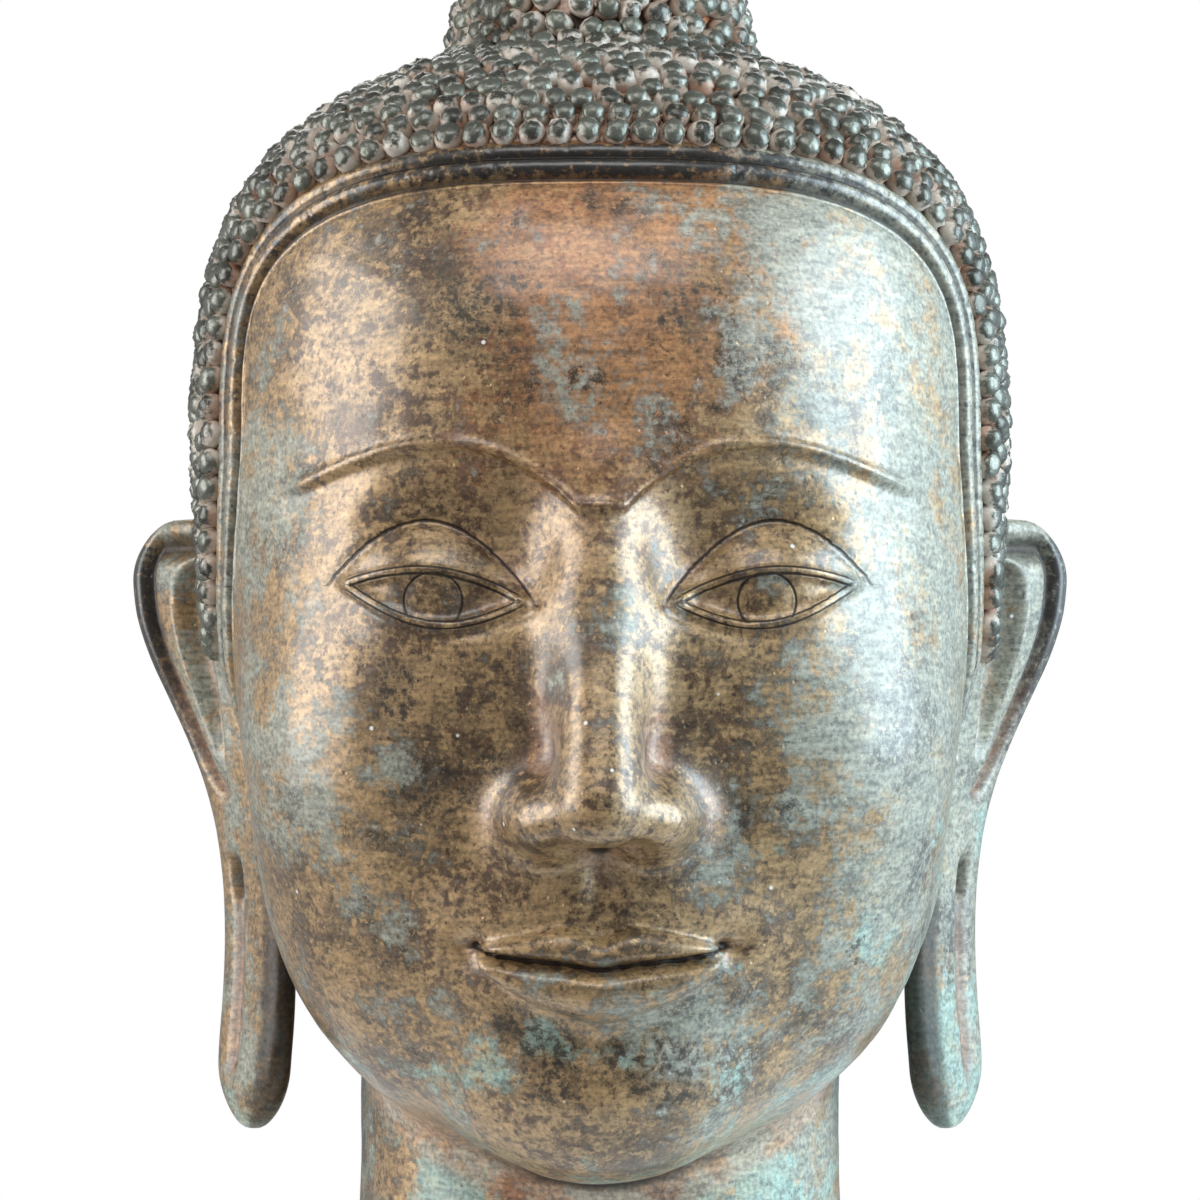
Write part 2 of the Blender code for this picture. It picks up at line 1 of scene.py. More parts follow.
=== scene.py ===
"""An aged bronze Buddha head on a pale floor, laid out as a Blender add-on and run as a script.

Metres, +Z up, the face looking along -Y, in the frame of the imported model. The skin, the curls and
the ears are worked out from the same rounded masses as the solid, as shares of the head's own height.
"""

import math
from collections import namedtuple

import bmesh
import bpy
import numpy as np
from bpy.props import FloatProperty, FloatVectorProperty, PointerProperty
from bpy.types import Operator, Panel, PropertyGroup
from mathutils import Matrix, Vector, kdtree, noise


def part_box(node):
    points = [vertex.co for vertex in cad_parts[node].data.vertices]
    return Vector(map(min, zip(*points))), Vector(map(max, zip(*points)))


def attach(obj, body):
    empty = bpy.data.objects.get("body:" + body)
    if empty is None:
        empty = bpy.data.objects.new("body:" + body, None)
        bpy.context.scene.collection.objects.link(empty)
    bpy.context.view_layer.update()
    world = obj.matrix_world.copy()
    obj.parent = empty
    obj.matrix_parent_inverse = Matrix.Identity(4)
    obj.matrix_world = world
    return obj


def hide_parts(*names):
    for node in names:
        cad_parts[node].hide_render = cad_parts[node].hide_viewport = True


bl_info = {
    "name": "Bronze Buddha Head",
    "version": (1, 0, 0),
    "blender": (4, 5, 0),
    "location": "3D View > Sidebar > Buddha Head",
    "description": "Builds an aged bronze Buddha head with curled hair and long ears, in a soft studio",
    "category": "Add Mesh",
}

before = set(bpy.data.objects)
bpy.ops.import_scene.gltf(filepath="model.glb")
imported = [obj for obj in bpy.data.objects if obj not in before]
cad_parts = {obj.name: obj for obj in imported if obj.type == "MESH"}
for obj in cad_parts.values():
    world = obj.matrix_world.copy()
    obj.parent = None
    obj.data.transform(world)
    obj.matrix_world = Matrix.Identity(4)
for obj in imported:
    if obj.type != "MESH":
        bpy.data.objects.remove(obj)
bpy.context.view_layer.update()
NODE = "buddha_head"
BODY = "root"
BOX_MARGIN = 0.0001

# Masses of the head, as shares of its height, each with the width of the fillet where it joins
Mass = namedtuple("Mass", "centre radii power blend")
CRANIUM = Mass((0, 0.055, 0.605), (0.343, 0.398, 0.370), 2.35, 0)
CROWN = Mass((0, 0.055, 0.681), (0.340, 0.338, 0.275), 2.7, 0.030)
TOPKNOT = Mass((0, 0.070, 0.985), (0.120, 0.128, 0.150), 2.1, 0.035)
FACE = Mass((0, -0.075, 0.350), (0.308, 0.268, 0.350), 2.35, 0.090)
NECK = Mass((0, 0.050, 0), (0.219, 0.205, 1), 2.2, 0.025)
CHIN = Mass((0, -0.240, 0.090), (0.110, 0.098, 0.090), 2, 0.080)
CHEEK = Mass((0.165, -0.190, 0.370), (0.120, 0.115, 0.130), 2, 0.060)
MUZZLE = Mass((0, -0.262, 0.210), (0.125, 0.086, 0.090), 2, 0.050)
SOCKET = Mass((0.120, -0.378, 0.535), (0.098, 0.066, 0.052), 2, 0.055)
EYEBALL = Mass((0.137, -0.258, 0.495), (0.082, 0.080, 0.074), 2, 0.016)
NOSE_ROOT = Mass((0, -0.316, 0.585), (0.020, 0.020, 0.020), 2, 0.030)
NOSE_TIP = Mass((0, -0.404, 0.325), (0.037, 0.037, 0.037), 2, 0.052)
NOSTRIL_WING = Mass((0.045, -0.366, 0.312), (0.030, 0.040, 0.027), 2, 0.028)
NOSTRIL = Mass((0.029, -0.390, 0.281), (0.013, 0.022, 0.012), 2, 0.012)
NECK_TOP = 0.350
NECK_FOOT = -0.250
NECK_ROUNDING = 0.030
NECK_FLARE = 0.06

# Brows, eyes and mouth, as shares of the head's height
BROW_INNER = 0.020
BROW_OUTER = 0.262
BROW_LEVEL = 0.577
BROW_RISE = 0.046
BROW_DIP = 0.012
BROW_PEAK = 0.8
BROW_LINE = 0.0045
BROW_LINE_WIDTH = 0.006
BROW_SETBACK = 0.006
BROW_SETBACK_REACH = 0.030
EYE_INNER = 0.066
EYE_OUTER = 0.208
EYE_LEVEL = 0.492
EYE_TILT = 0.014
UPPER_LID = 0.017
LOWER_LID = 0.024
LID_EDGE = 0.0045
LID_FOLD = 0.060
LID_FOLD_OVERHANG = 0.012
LID_FOLD_DEPTH = 0.004
LOWER_FOLD = 0.012
EYE_INSET = 0.0055
IRIS_DROP = 0.004
IRIS_RADIUS = 0.024
IRIS_DEPTH = 0.0025
MOUTH_LEVEL = 0.192
MOUTH_HALF = 0.104
MOUTH_CORNER_RISE = 0.011
MOUTH_MIDDLE_DIP = 0.004
UPPER_LIP = 0.034
UPPER_LIP_NOTCH = 0.008
UPPER_LIP_FULL = 0.013
LOWER_LIP = 0.044
LOWER_LIP_FULL = 0.017
LIP_EDGE = 0.003
LIP_PARTING = 0.009
CORNER_HOLLOW = 0.008
CORNER_HOLLOW_WIDTH = 0.013
LIP_CHANNEL = 0.006
LIP_CHANNEL_WIDTH = 0.012
CHIN_HOLLOW = 0.006
CHIN_HOLLOW_DROP = 0.022
NOSE_BASE = 0.288
CARVING_BACK = -0.160

# The hairline: an arch seen from the front, then a line down the side, under the ear and to the nape
ARCH_HALF = 0.325
ARCH_SPRING = 0.620
ARCH_TOP = 0.867
ARCH_POWER = 3.5
SIDE_DEGREES = (66, 75, 100, 130, 155, 180)
SIDE_HEIGHTS = (0.460, 0.440, 0.420, 0.340, 0.280, 0.268)
BAND_FOOT = 0.370
BAND_FOOT_DEGREES = 69

# The ear, by height from its tip to its top
EAR_TIP = 0.007
EAR_TOP = 0.565
EAR_HEIGHTS = (0.007, 0.069, 0.124, 0.190, 0.250, 0.306, 0.352, 0.400, 0.450, 0.500, 0.565)
EAR_ACROSS = (0.316, 0.315, 0.310, 0.309, 0.313, 0.322, 0.334, 0.349, 0.366, 0.374, 0.375)
EAR_BACK = (0.006, 0.006, 0.006, 0.006, 0.008, 0.012, 0.014, 0.015, 0.015, 0.016, 0.018)
EAR_LENGTHS = (0.054, 0.061, 0.062, 0.060, 0.057, 0.058, 0.063, 0.069, 0.075, 0.076, 0.068)
EAR_DEPTHS = (0.019, 0.019, 0.018, 0.017, 0.017, 0.017, 0.017, 0.017, 0.017, 0.017, 0.017)
EAR_TURNS = (30, 30, 30, 30, 31, 33, 37, 42, 46, 48, 48)
EAR_SOFTENING = (-0.026, -0.013, 0, 0.013, 0.026)
EAR_POWER = 2.6
EAR_TIP_ROUNDING = 0.060
EAR_TIP_POINT = 0.68
EAR_TOP_ROUNDING = 0.060
BOWL_FOOT = 0.318
BOWL_TOP = 0.522
BOWL_ALONG = -0.020
BOWL_HALF = 0.029
BOWL_DEPTH = 0.017
BOWL_EDGE = 0.003
BOWL_EDGE_WIDTH = 0.005
GROOVE_FOOT = 0.312
GROOVE_INSET = 0.029
GROOVE_WIDTH = 0.010
GROOVE_DEPTH = 0.015
GROOVE_FRONT = -0.030
HOOK_LENGTH = 0.018
HOOK_TURN = 0.022
SLIT_FOOT = 0.060
SLIT_TOP = 0.255
SLIT_ALONG = 0.011
SLIT_HALF = 0.009
SLIT_DEPTH = 0.009
PIT_LEVEL = 0.236
PIT_HALF = 0.017
PIT_DEPTH = 0.010

# Where each row of the skin starts on the middle line, down from the crown, and its pitch in degrees; how
# far the columns crowd towards the face; and where the easing and the closing of the cut begin
ROW_STATIONS = (0, 0.03, 0.06, 0.22, 0.87, 0.90, 0.93, 0.985, 1)
ROW_LEVELS = (0.60, 0.60, 0.60, 0.66, 0.12, 0.10, 0.06)
ROW_PITCHES = (90, 56, 42, 10, -2, -20, -34, 0, 0)
FACE_CROWDING = 0.68
CUT_STARTS = 0.985
LOOSE_UNTIL = 0.96

# How finely the surfaces are drawn
SKIN_COLUMNS = 240
SKIN_ROWS = 400
EAR_COLUMNS = 150
EAR_ROWS = 190
BAND_STATIONS = 620
BAND_COLUMNS = 46
CURL_SIDES = 12
CURL_RINGS = 8

# The moulding along the hairline, by millimetres from its outer edge towards the face
BAND_START = -2.5
BAND_END = 20.2
OUTER_RIDGE = (2.6, 2.8)
OUTER_GROOVE = (6.1, 1.0)
INNER_RIDGE = (9.7, 2.9)
INNER_GROOVE = (14.2, 1.6)
SEAT_END = 16.2

# The moulding's casting nicks, its thickness, and how far its edges and feet sink, in metres
NICKS = 34
NICK_DEPTHS = (0.0003, 0.0011)
NICK_SEED = 3
BAND_THICKNESS = 0.0015
BAND_EDGE_SINK = 0.0014
BAND_FOOT_SINK = 0.0008

# The curls: fixed rows along the hairline, and how the rest are spread, leaned and worn
SPREAD_SEED = 5
CURL_SEED = 11
WORN_SHARE = 0.04
WORN_HEIGHT = 0.65
SCATTERED_LEAN = 0.10
FIRST_ROW = 0.46
ROW_SPACING = 0.866
FIXED_ROWS = 3
SCALP_SAMPLES = 60000
SPREADING_ROUNDS = 28
CURL_PIECES = 3
DOMED_SHARE = 0.45
ROOT_DEPTH = 0.3
FRONT_LEAN = 0.55
FRONT_LEAN_REACH = 0.024

# Old stains on the face's side: place across, height, radius in metres, and how strong
DARK_STAINS = (
    (-0.048, 0.417, 0.030, 0.72),
    (-0.062, 0.438, 0.018, 0.55),
    (-0.028, 0.451, 0.010, 0.85),
    (0.037, 0.417, 0.025, 0.60),
    (0.015, 0.400, 0.016, 0.50),
    (-0.007, 0.385, 0.008, 0.90),
    (-0.090, 0.372, 0.022, 0.62),
    (0.092, 0.371, 0.018, 0.62),
    (-0.084, 0.268, 0.026, 0.62),
    (-0.096, 0.292, 0.012, 0.55),
    (-0.026, 0.137, 0.026, 0.74),
    (0.020, 0.130, 0.024, 0.80),
    (0.080, 0.190, 0.016, 0.40),
    (-0.074, 0.177, 0.005, 0.95),
    (0.099, 0.173, 0.006, 0.85),
)

# What the softboxes face, and the colours of their light
AIM_HEIGHT = 0.34
COOL = (0.72, 0.88, 1.0)
NEUTRAL = (0.96, 0.98, 1.0)
WHITE = (1, 1, 1)

# Node settings: a soft run from nothing to one, and a mix of colours
SOFT = {"interpolation_type": "SMOOTHSTEP"}
RGBA = {"data_type": "RGBA"}


def linear(hex_colour):
    """An sRGB hex colour as a linear RGB triple."""
    values = [int(hex_colour[i : i + 2], 16) / 255 for i in (1, 3, 5)]
    return [v / 12.92 if v <= 0.04045 else ((v + 0.055) / 1.055) ** 2.4 for v in values]


def number_property(name, default, description, **kind):
    """A number from zero up, with its unit or kind."""
    return FloatProperty(name=name, default=default, min=0, description=description, **kind)


def length_property(name, default, description):
    """A size in metres."""
    return number_property(name, default, description, unit="LENGTH", precision=4)


def power_property(name, default, description):
    """A light's power in watts."""
    return number_property(name, default, description, unit="POWER")


def strength_property(name, default, description):
    """The strength of the room's light."""
    return number_property(name, default, description, subtype="FACTOR", soft_max=2)


def colour_property(name, hex_colour, description):
    """A colour, given as sRGB hex."""
    kind = {"subtype": "COLOR", "size": 3, "min": 0, "max": 1}
    return FloatVectorProperty(name=name, default=linear(hex_colour), description=description, **kind)


class BuddhaHeadSizes(PropertyGroup):
    """Real sizes of the casting."""

    head_height: length_property("Head height", 0.460, "From the chin to the crown, without the topknot")
    neck_length: length_property("Neck length", 0.080, "From the chin down to the cut")
    hair_rise: length_property("Hair rise", 0.0035, "How far the scalp stands above the skin of the face")
    curl_pitch: length_property("Curl pitch", 0.0108, "Distance between neighbouring curls")
    curl_radius: length_property("Curl radius", 0.0050, "Radius of a curl at its widest")
    curl_height: length_property("Curl height", 0.0086, "How far a curl stands off the scalp")
    band_step: length_property("Band step", 0.0032, "How far the moulding climbs to the hair")
    band_ridge: length_property("Band ridge", 0.0016, "Height of the two ridges along the hairline")
    band_groove: length_property("Band groove", 0.0020, "Depth of the inner groove along the hairline")
    band_seat: length_property("Band seat", 0.0046, "How far the skin is let down under the moulding")
    unevenness: length_property("Unevenness", 0.0004, "How far the cast surface wanders")


class BuddhaHeadColours(PropertyGroup):
    """Colours of the patina."""

    tan: colour_property("Tan", "#9d8059", "Rubbed brown bronze with a film of dust")
    # Also laid as painted shade at the feet of the curls
    umber: colour_property("Umber", "#543d28", "Darker brown patina")
    # On the moulding it is also laid heavier towards the middle as painted shade
    charcoal: colour_property("Charcoal", "#2a2723", "Black patina in patches")
    # On the skin the film is laid broadest on the sides and the right, partly as a painted sheen
    film: colour_property("Film", "#95988a", "Thin grey-green film")
    verdigris: colour_property("Verdigris", "#86a79d", "Pale blue-green corrosion")
    dust: colour_property("Dust", "#b38f78", "Pinkish earth held in hollows")
    ash: colour_property("Ash", "#cdc2b4", "Pale dust on the curls")
    rust: colour_property("Rust", "#a5683c", "Orange earth and ruddy places")
    # Laid as dirt with painted shade in the cuts, the creases and the deep hollows
    groove: colour_property("Groove", "#1b120a", "Dirt in the incised lines")
    tip: colour_property("Curl tip", "#3a3a32", "Dark greenish patina of the rubbed curls")
    chip: colour_property("Chip", "#e4e2dc", "Pale specks on the surface")


class BuddhaHeadStudio(PropertyGroup):
    """Camera and light."""

    camera_distance: length_property("Camera distance", 1.600, "From the camera to the ears")
    camera_height: length_property("Camera height", 0.305, "Height of the level camera over the floor")
    view_width: length_property("View width", 0.504, "Width that the picture takes in at the ears")
    floor_radius: length_property("Floor radius", 0.320, "Radius of the pale floor")
    right_power: power_property("Right softbox", 25, "Power of the cool softbox")
    left_power: power_property("Left softbox", 14, "Power of the neutral softbox")
    front_power: power_property("Front softbox", 10, "Power of the softbox over the camera")
    back_power: power_property("Back softbox", 5, "Power of the softbox behind")
    room_dark: strength_property("Dark of the room", 0.25, "Light from before and behind")
    room_left: strength_property("Left side", 0.56, "Light from the room's left side")
    room_right: strength_property("Right side", 1.5, "Light from the room's right side")


def distance_to_mass(points, mass):
    """About how far each point is outside a rounded mass, below zero inside it."""
    scaled = np.abs(points - np.array(mass.centre)) / np.array(mass.radii)
    reach = (scaled**mass.power).sum(axis=1) ** (1 / mass.power) + 1e-9
    slope = ((scaled / reach[:, None]) ** (mass.power - 1) / np.array(mass.radii)) ** 2
    return (reach - 1) / np.sqrt(slope.sum(axis=1))


def distance_to_ridge(points, first, last):
    """How far each point is outside a round rod whose radius runs from one mass's to the other's."""
    start, run = np.array(first.centre), np.subtract(last.centre, first.centre)
    along = np.clip((points - start) @ run / (run @ run), 0, 1)
    radius = first.radii[0] + along * (last.radii[0] - first.radii[0])
    return np.linalg.norm(points - start - along[:, None] * run, axis=1) - radius


def joined(first, second, blend):
    """The distance to two forms together, with a fillet of about this width between them."""
    mix = np.clip(0.5 + 0.5 * (second - first) / blend, 0, 1)
    return second * (1 - mix) + first * mix - blend * mix * (1 - mix)


def hollowed(first, second, blend):
    """The distance to the first form less the second, with a soft edge."""
    return -joined(-first, second, blend)


def with_mass(form, points, mass):
    """The distance to a form with one more mass on it."""
    return joined(form, distance_to_mass(points, mass), mass.blend)


def without_mass(form, points, mass):
    """The distance to a form with a mass scooped out of it."""
    return hollowed(form, distance_to_mass(points, mass), mass.blend)


def neck_form(points):
    """A slightly squared column that widens towards the cut."""
    drop = bpy.context.scene.buddha_sizes.neck_length / bpy.context.scene.buddha_sizes.head_height
    widen = 1 + NECK_FLARE * np.clip(-points[:, 2:] / drop, 0, 1.5) ** 2
    straight = (points - NECK.centre) / widen * (1, 1, 0)
    ends = np.maximum(NECK_FOOT - points[:, 2], points[:, 2] - NECK_TOP)
    return hollowed(distance_to_mass(straight + NECK.centre, NECK), -ends, NECK_ROUNDING)


def skull_form(points):
    """The skull, the topknot and the long mass of the face on the neck, before any feature."""
    points = np.column_stack([np.abs(points[:, 0]), points[:, 1:]])
    form = distance_to_mass(points, CRANIUM)
    for mass in (CROWN, TOPKNOT, FACE):
        form = with_mass(form, points, mass)
    return joined(form, neck_form(points), NECK.blend)


def nose_form(points):
    """A ridge from between the brows to a rounded tip, with a wing and a nostril on each side."""
    ridge = distance_to_ridge(points, NOSE_ROOT, NOSE_TIP)
    return without_mass(with_mass(ridge, points, NOSTRIL_WING), points, NOSTRIL)


def head_form(points):
    """The bald head with its neck: the distance of each point from its surface."""
    form = skull_form(points)
    points = np.column_stack([np.abs(points[:, 0]), points[:, 1:]])
    for mass in (CHIN, CHEEK, MUZZLE):
        form = with_mass(form, points, mass)
    form = with_mass(without_mass(form, points, SOCKET), points, EYEBALL)
    return joined(form, nose_form(points), NOSE_TIP.blend)


def outward(points, form, step=0.002):
    """The unit direction out of the form at each point."""
    here = form(points)
    slope = np.stack([form(points + step * axis) - here for axis in np.eye(3)], axis=1)
    return slope / (np.linalg.norm(slope, axis=1, keepdims=True) + 1e-12)


def dropped(starts, directions, form, reach=0.9, rounds=40):
    """The point where a ray that comes in towards each start meets the form's outer side."""
    length = np.full(len(starts), reach)
    for _ in range(rounds):
        length -= 0.8 * form(starts + length[:, None] * directions)
    return starts + length[:, None] * directions


def neighbour_means(values, edges, rounds):
    """Each vertex's value mixed half and half with its neighbours' mean, a number of times."""
    ends = np.concatenate([edges, edges[:, ::-1]])
    count = np.bincount(ends[:, 0], minlength=len(values))
    for _ in range(rounds):
        columns = np.atleast_2d(values.T)
        sums = [np.bincount(ends[:, 0], column[ends[:, 1]], len(values)) / count for column in columns]
        values = 0.5 * values + 0.5 * np.array(sums).T.reshape(values.shape)
    return values


def eased(points, edges, form, rounds):
    """The points spread evenly over the form."""
    for _ in range(rounds):
        points = neighbour_means(points, edges, 1)
        points = points - form(points)[:, None] * outward(points, form)
    return points


def hump(distance, width):
    """One at zero distance, falling away softly over the width."""
    return np.exp(-((distance / width) ** 2))


def within(value, low, high, soft):
    """One between low and high, with soft ends."""
    return 0.25 * (1 + np.tanh((value - low) / soft / 2)) * (1 - np.tanh((value - high) / soft / 2))


def brow_height(across):
    """The height of the raised line over each eye."""
    turn = np.clip((across - BROW_INNER) / (BROW_OUTER - BROW_INNER), 0, 1)
    return BROW_LEVEL + BROW_RISE * np.sin(math.pi * turn**BROW_PEAK) + BROW_DIP * (1.33 * turn - 1)


def brow_relief(across, height):
    """A raised line that arches over each eye, with the surface set back under it."""
    over = height - brow_height(across)
    ends = within(across, BROW_INNER - 0.02, BROW_OUTER, BROW_LINE_WIDTH)
    below = np.minimum(over, 0)
    setback = (over < 0) * np.exp(below / BROW_SETBACK_REACH) * (1 - np.exp(below / BROW_LINE))
    return ends * (BROW_LINE * hump(over, BROW_LINE_WIDTH) - BROW_SETBACK * setback)


def eye_line(across, rise, power, overhang=0.0):
    """The height of a line that runs from one corner of the eye to the other and rises between them."""
    turn = (across - EYE_INNER + overhang) / (EYE_OUTER - EYE_INNER + 2.5 * overhang)
    turn = np.clip(turn, 0, 1)
    return EYE_LEVEL + EYE_TILT * (turn - 0.3) + rise * np.sin(math.pi * turn) ** power


def gap_to_line(across, height, line, first, last):
    """How far each place, seen from the front, is from a line over this span, below zero under it."""
    steps = np.linspace(first, last, 90)
    path = line(steps)
    gap = np.sqrt(((across[:, None] - steps) ** 2 + (height[:, None] - path) ** 2).min(axis=1))
    return gap * np.sign(height - np.interp(across, steps, path))


def eye_gaps(across, height):
    """How far each place is from the upper lid's edge, the lower lid's edge and the fold over the lid."""
    edges = ((UPPER_LID, 0.9, 0), (-LOWER_LID, 1, 0), (LID_FOLD, 0.9, LID_FOLD_OVERHANG))
    return [
        gap_to_line(across, height, lambda steps: eye_line(steps, rise, power, overhang),
                    EYE_INNER - overhang, EYE_OUTER + 1.5 * overhang)
        for rise, power, overhang in edges
    ]


def iris_edge(across, height):
    """How far each place is outside the iris's outline."""
    middle = 0.5 * (EYE_INNER + EYE_OUTER)
    return np.hypot(across - middle, height - EYE_LEVEL + IRIS_DROP) - IRIS_RADIUS


def eye_relief(across, height):
    """Lids that stand over the eyeball, a fold above them and the iris's outline."""
    upper, lower, fold = eye_gaps(across, height)
    inside = within(upper, -1, 0, 0.0012) * within(lower, 0, 1, 0.0012)
    rims = hump(upper, LID_EDGE) + 0.8 * hump(lower, LID_EDGE)
    folds = hump(fold, 0.0035) + 0.5 * hump(lower + LOWER_FOLD, LID_FOLD_DEPTH)
    sunk = EYE_INSET + IRIS_DEPTH * hump(iris_edge(across, height), 0.003)
    return LID_EDGE * rims - LID_FOLD_DEPTH * folds - inside * sunk


def lip_lines(across):
    """The heights of the line between the lips, the upper lip's edge and the lower lip's edge."""
    turn = np.clip(across / MOUTH_HALF, 0, 1)
    line = MOUTH_LEVEL + MOUTH_CORNER_RISE * turn**2.5 - MOUTH_MIDDLE_DIP * hump(across, 0.022)
    upper = line + UPPER_LIP * (1 - turn**1.7) ** 0.9 - UPPER_LIP_NOTCH * hump(across, 0.015)
    lower = line - LOWER_LIP * (1 - turn**2.2) ** 0.8
    return line, upper, lower


def lip_relief(across, height):
    """Two full lips with a crisp edge, the line between them and the hollows round the mouth."""
    line, upper, lower = lip_lines(across)
    rise = np.clip((height - line) / (upper - line + 1e-6), 0, 1)
    fall = np.clip((line - height) / (line - lower + 1e-6), 0, 1)
    full = UPPER_LIP_FULL * np.sin(math.pi * rise**0.8) ** 0.7
    full += LOWER_LIP_FULL * np.sin(math.pi * fall**0.8) ** 0.7
    full += LIP_EDGE * within(height, lower, upper, 0.0015)
    full *= within(across, -1, MOUTH_HALF, 0.004)
    parting = LIP_PARTING * hump(height - line, 0.0045) * within(across, -1, MOUTH_HALF + 0.006, 0.004)
    corner = np.hypot(across - MOUTH_HALF - 0.004, height - MOUTH_LEVEL - MOUTH_CORNER_RISE)
    channel = hump(across, LIP_CHANNEL_WIDTH)
    channel *= within(height, MOUTH_LEVEL + 0.046, NOSE_BASE - 0.008, 0.006)
    under = hump(across, 0.060) * hump(height - lower + CHIN_HOLLOW_DROP, 0.016)
    hollows = CORNER_HOLLOW * hump(corner, CORNER_HOLLOW_WIDTH) + LIP_CHANNEL * channel
    return full - parting - hollows - CHIN_HOLLOW * under


def carved(points):
    """How far the carving lifts each point of the face out of the masses, as a share."""
    front = within(points[:, 1], -1, CARVING_BACK, 0.012)
    reached = front > 0.001
    across, height = np.abs(points[reached, 0]), points[reached, 2]
    relief = brow_relief(across, height) + eye_relief(across, height) + lip_relief(across, height)
    front[reached] *= relief
    return front


def hairline_arch(steps):
    """Places along the arch over the forehead, from one temple to the other, traced from the front."""
    turns = np.linspace(math.pi, 0, steps)
    across = ARCH_HALF * np.sign(np.cos(turns)) * np.abs(np.cos(turns)) ** (2 / ARCH_POWER)
    up = ARCH_SPRING + (ARCH_TOP - ARCH_SPRING) * np.abs(np.sin(turns)) ** (2 / ARCH_POWER)
    starts = np.column_stack([across, np.zeros(steps), up])
    return dropped(starts, np.tile((0.0, -1.0, 0.0), (steps, 1)), skull_form)


def side_line(temple, degrees, heights, steps):
    """Places from the temple on, along a line by degrees round from the front and heights."""
    first = math.degrees(math.atan2(temple[0], CRANIUM.centre[1] - temple[1]))
    degrees, heights = np.append(first, degrees), np.append(temple[2], heights)
    length = np.cumsum(np.append(0, np.hypot(np.diff(degrees) / 100, np.diff(heights))))
    along = np.linspace(0, length[-1], steps + 1)[1:]
    turns = np.radians(np.interp(along, length, degrees))
    up = np.interp(along, length, heights)
    starts = np.column_stack([0 * turns, np.full(steps, CRANIUM.centre[1]), up])
    return dropped(starts, np.column_stack([np.sin(turns), -np.cos(turns), 0 * turns]), skull_form)


def hairline(degrees, heights, steps=200):
    """The hairline's places, evenly spaced, and the direction towards the face at each."""
    arch = hairline_arch(steps)
    side = side_line(arch[-1], degrees, heights, steps)
    path = np.concatenate([side[::-1] * (-1, 1, 1), arch, side])
    length = np.append(0, np.cumsum(np.linalg.norm(np.diff(path, axis=0), axis=1)))
    even = np.linspace(0, length[-1], 3 * steps)
    path = np.column_stack([np.interp(even, length, path[:, axis]) for axis in range(3)])
    inward = np.cross(np.gradient(path, axis=0), outward(path, skull_form))
    inward /= -np.linalg.norm(inward, axis=1, keepdims=True) * np.sign(inward[len(path) // 2, 2])
    return path, inward


def distance_from_line(points, path, inward, reach=0.08):
    """How far each point is from the line, above zero on the face's side, and its place along it."""
    far, along = [], []
    for group in np.array_split(points, 1 + len(points) // 1500):
        gaps = ((group[:, None] - path[None]) ** 2).sum(axis=2)
        nearest = gaps.argmin(axis=1)
        gap = np.sqrt(gaps[np.arange(len(group)), nearest])
        side = ((group - path[nearest]) * inward[nearest]).sum(axis=1)
        far.append(np.where(gap < reach, side, np.sign(side) * gap))
        along.append(nearest / (len(path) - 1))
    return np.concatenate(far), np.concatenate(along)


def hair_side(points):
    """Above zero on the hair's side of the hairline, by the angle from the skull's middle."""
    path, _ = hairline(SIDE_DEGREES, SIDE_HEIGHTS)
    half = path[len(path) // 2 :] - CRANIUM.centre
    around = np.arctan2(np.abs(half[:, 0]), -half[:, 1])
    tilt = half[:, 2] / np.hypot(half[:, 0], half[:, 1])
    order = np.argsort(around)
    place = points - CRANIUM.centre
    turn = np.arctan2(np.abs(place[:, 0]), -place[:, 1])
    return place[:, 2] / np.hypot(place[:, 0], place[:, 1]) - np.interp(turn, around[order], tilt[order])


def to_metres(points):
    """Shares of the head's height as places in the frame, with the nose's tip where the solid's is."""
    sizes = bpy.context.scene.buddha_sizes
    nose = (NOSE_TIP.centre[1] - NOSE_TIP.radii[0]) * sizes.head_height
    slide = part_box(NODE)[0][1] - nose
    return points * sizes.head_height + np.array([0, slide, sizes.neck_length])


def inside_box(places):
    """The places in metres, kept a hair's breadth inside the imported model's box."""
    low, high = (np.array(corner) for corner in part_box(NODE))
    return np.clip(places, low + (BOX_MARGIN, BOX_MARGIN, 0), high - BOX_MARGIN)


def finished(builder, points, name):
    """A new smooth object from the builder, moved to these shares of the height and shaded smooth."""
    for vertex, place in zip(builder.verts, inside_box(to_metres(points))):
        vertex.co = place
    if builder.calc_volume(signed=True) < 0:
        bmesh.ops.reverse_faces(builder, faces=builder.faces)
    mesh = bpy.data.meshes.new(name)
    builder.to_mesh(mesh)
    builder.free()
    mesh.shade_smooth()
    made = bpy.data.objects.new(name, mesh)
    bpy.context.scene.collection.objects.link(made)
    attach(made, BODY)
    return made


def edge_ends(builder):
    """The pairs of vertices that edges join."""
    builder.verts.index_update()
    return np.array([[vertex.index for vertex in edge.verts] for edge in builder.edges])


def mesh_edges(mesh):
    """The pairs of vertices that a mesh's edges join."""
    ends = np.empty(len(mesh.edges) * 2, dtype=int)
    mesh.edges.foreach_get("vertices", ends)
    return ends.reshape(-1, 2)


def keep_values(mesh, name, *columns):
    """Stores up to three numbers for each vertex."""
    rows = np.zeros((len(mesh.vertices), 3), dtype=np.float32)
    rows[:, : len(columns)] = np.column_stack(columns)
    mesh.attributes.new(name, "FLOAT_VECTOR", "POINT").data.foreach_set("vector", rows.ravel())


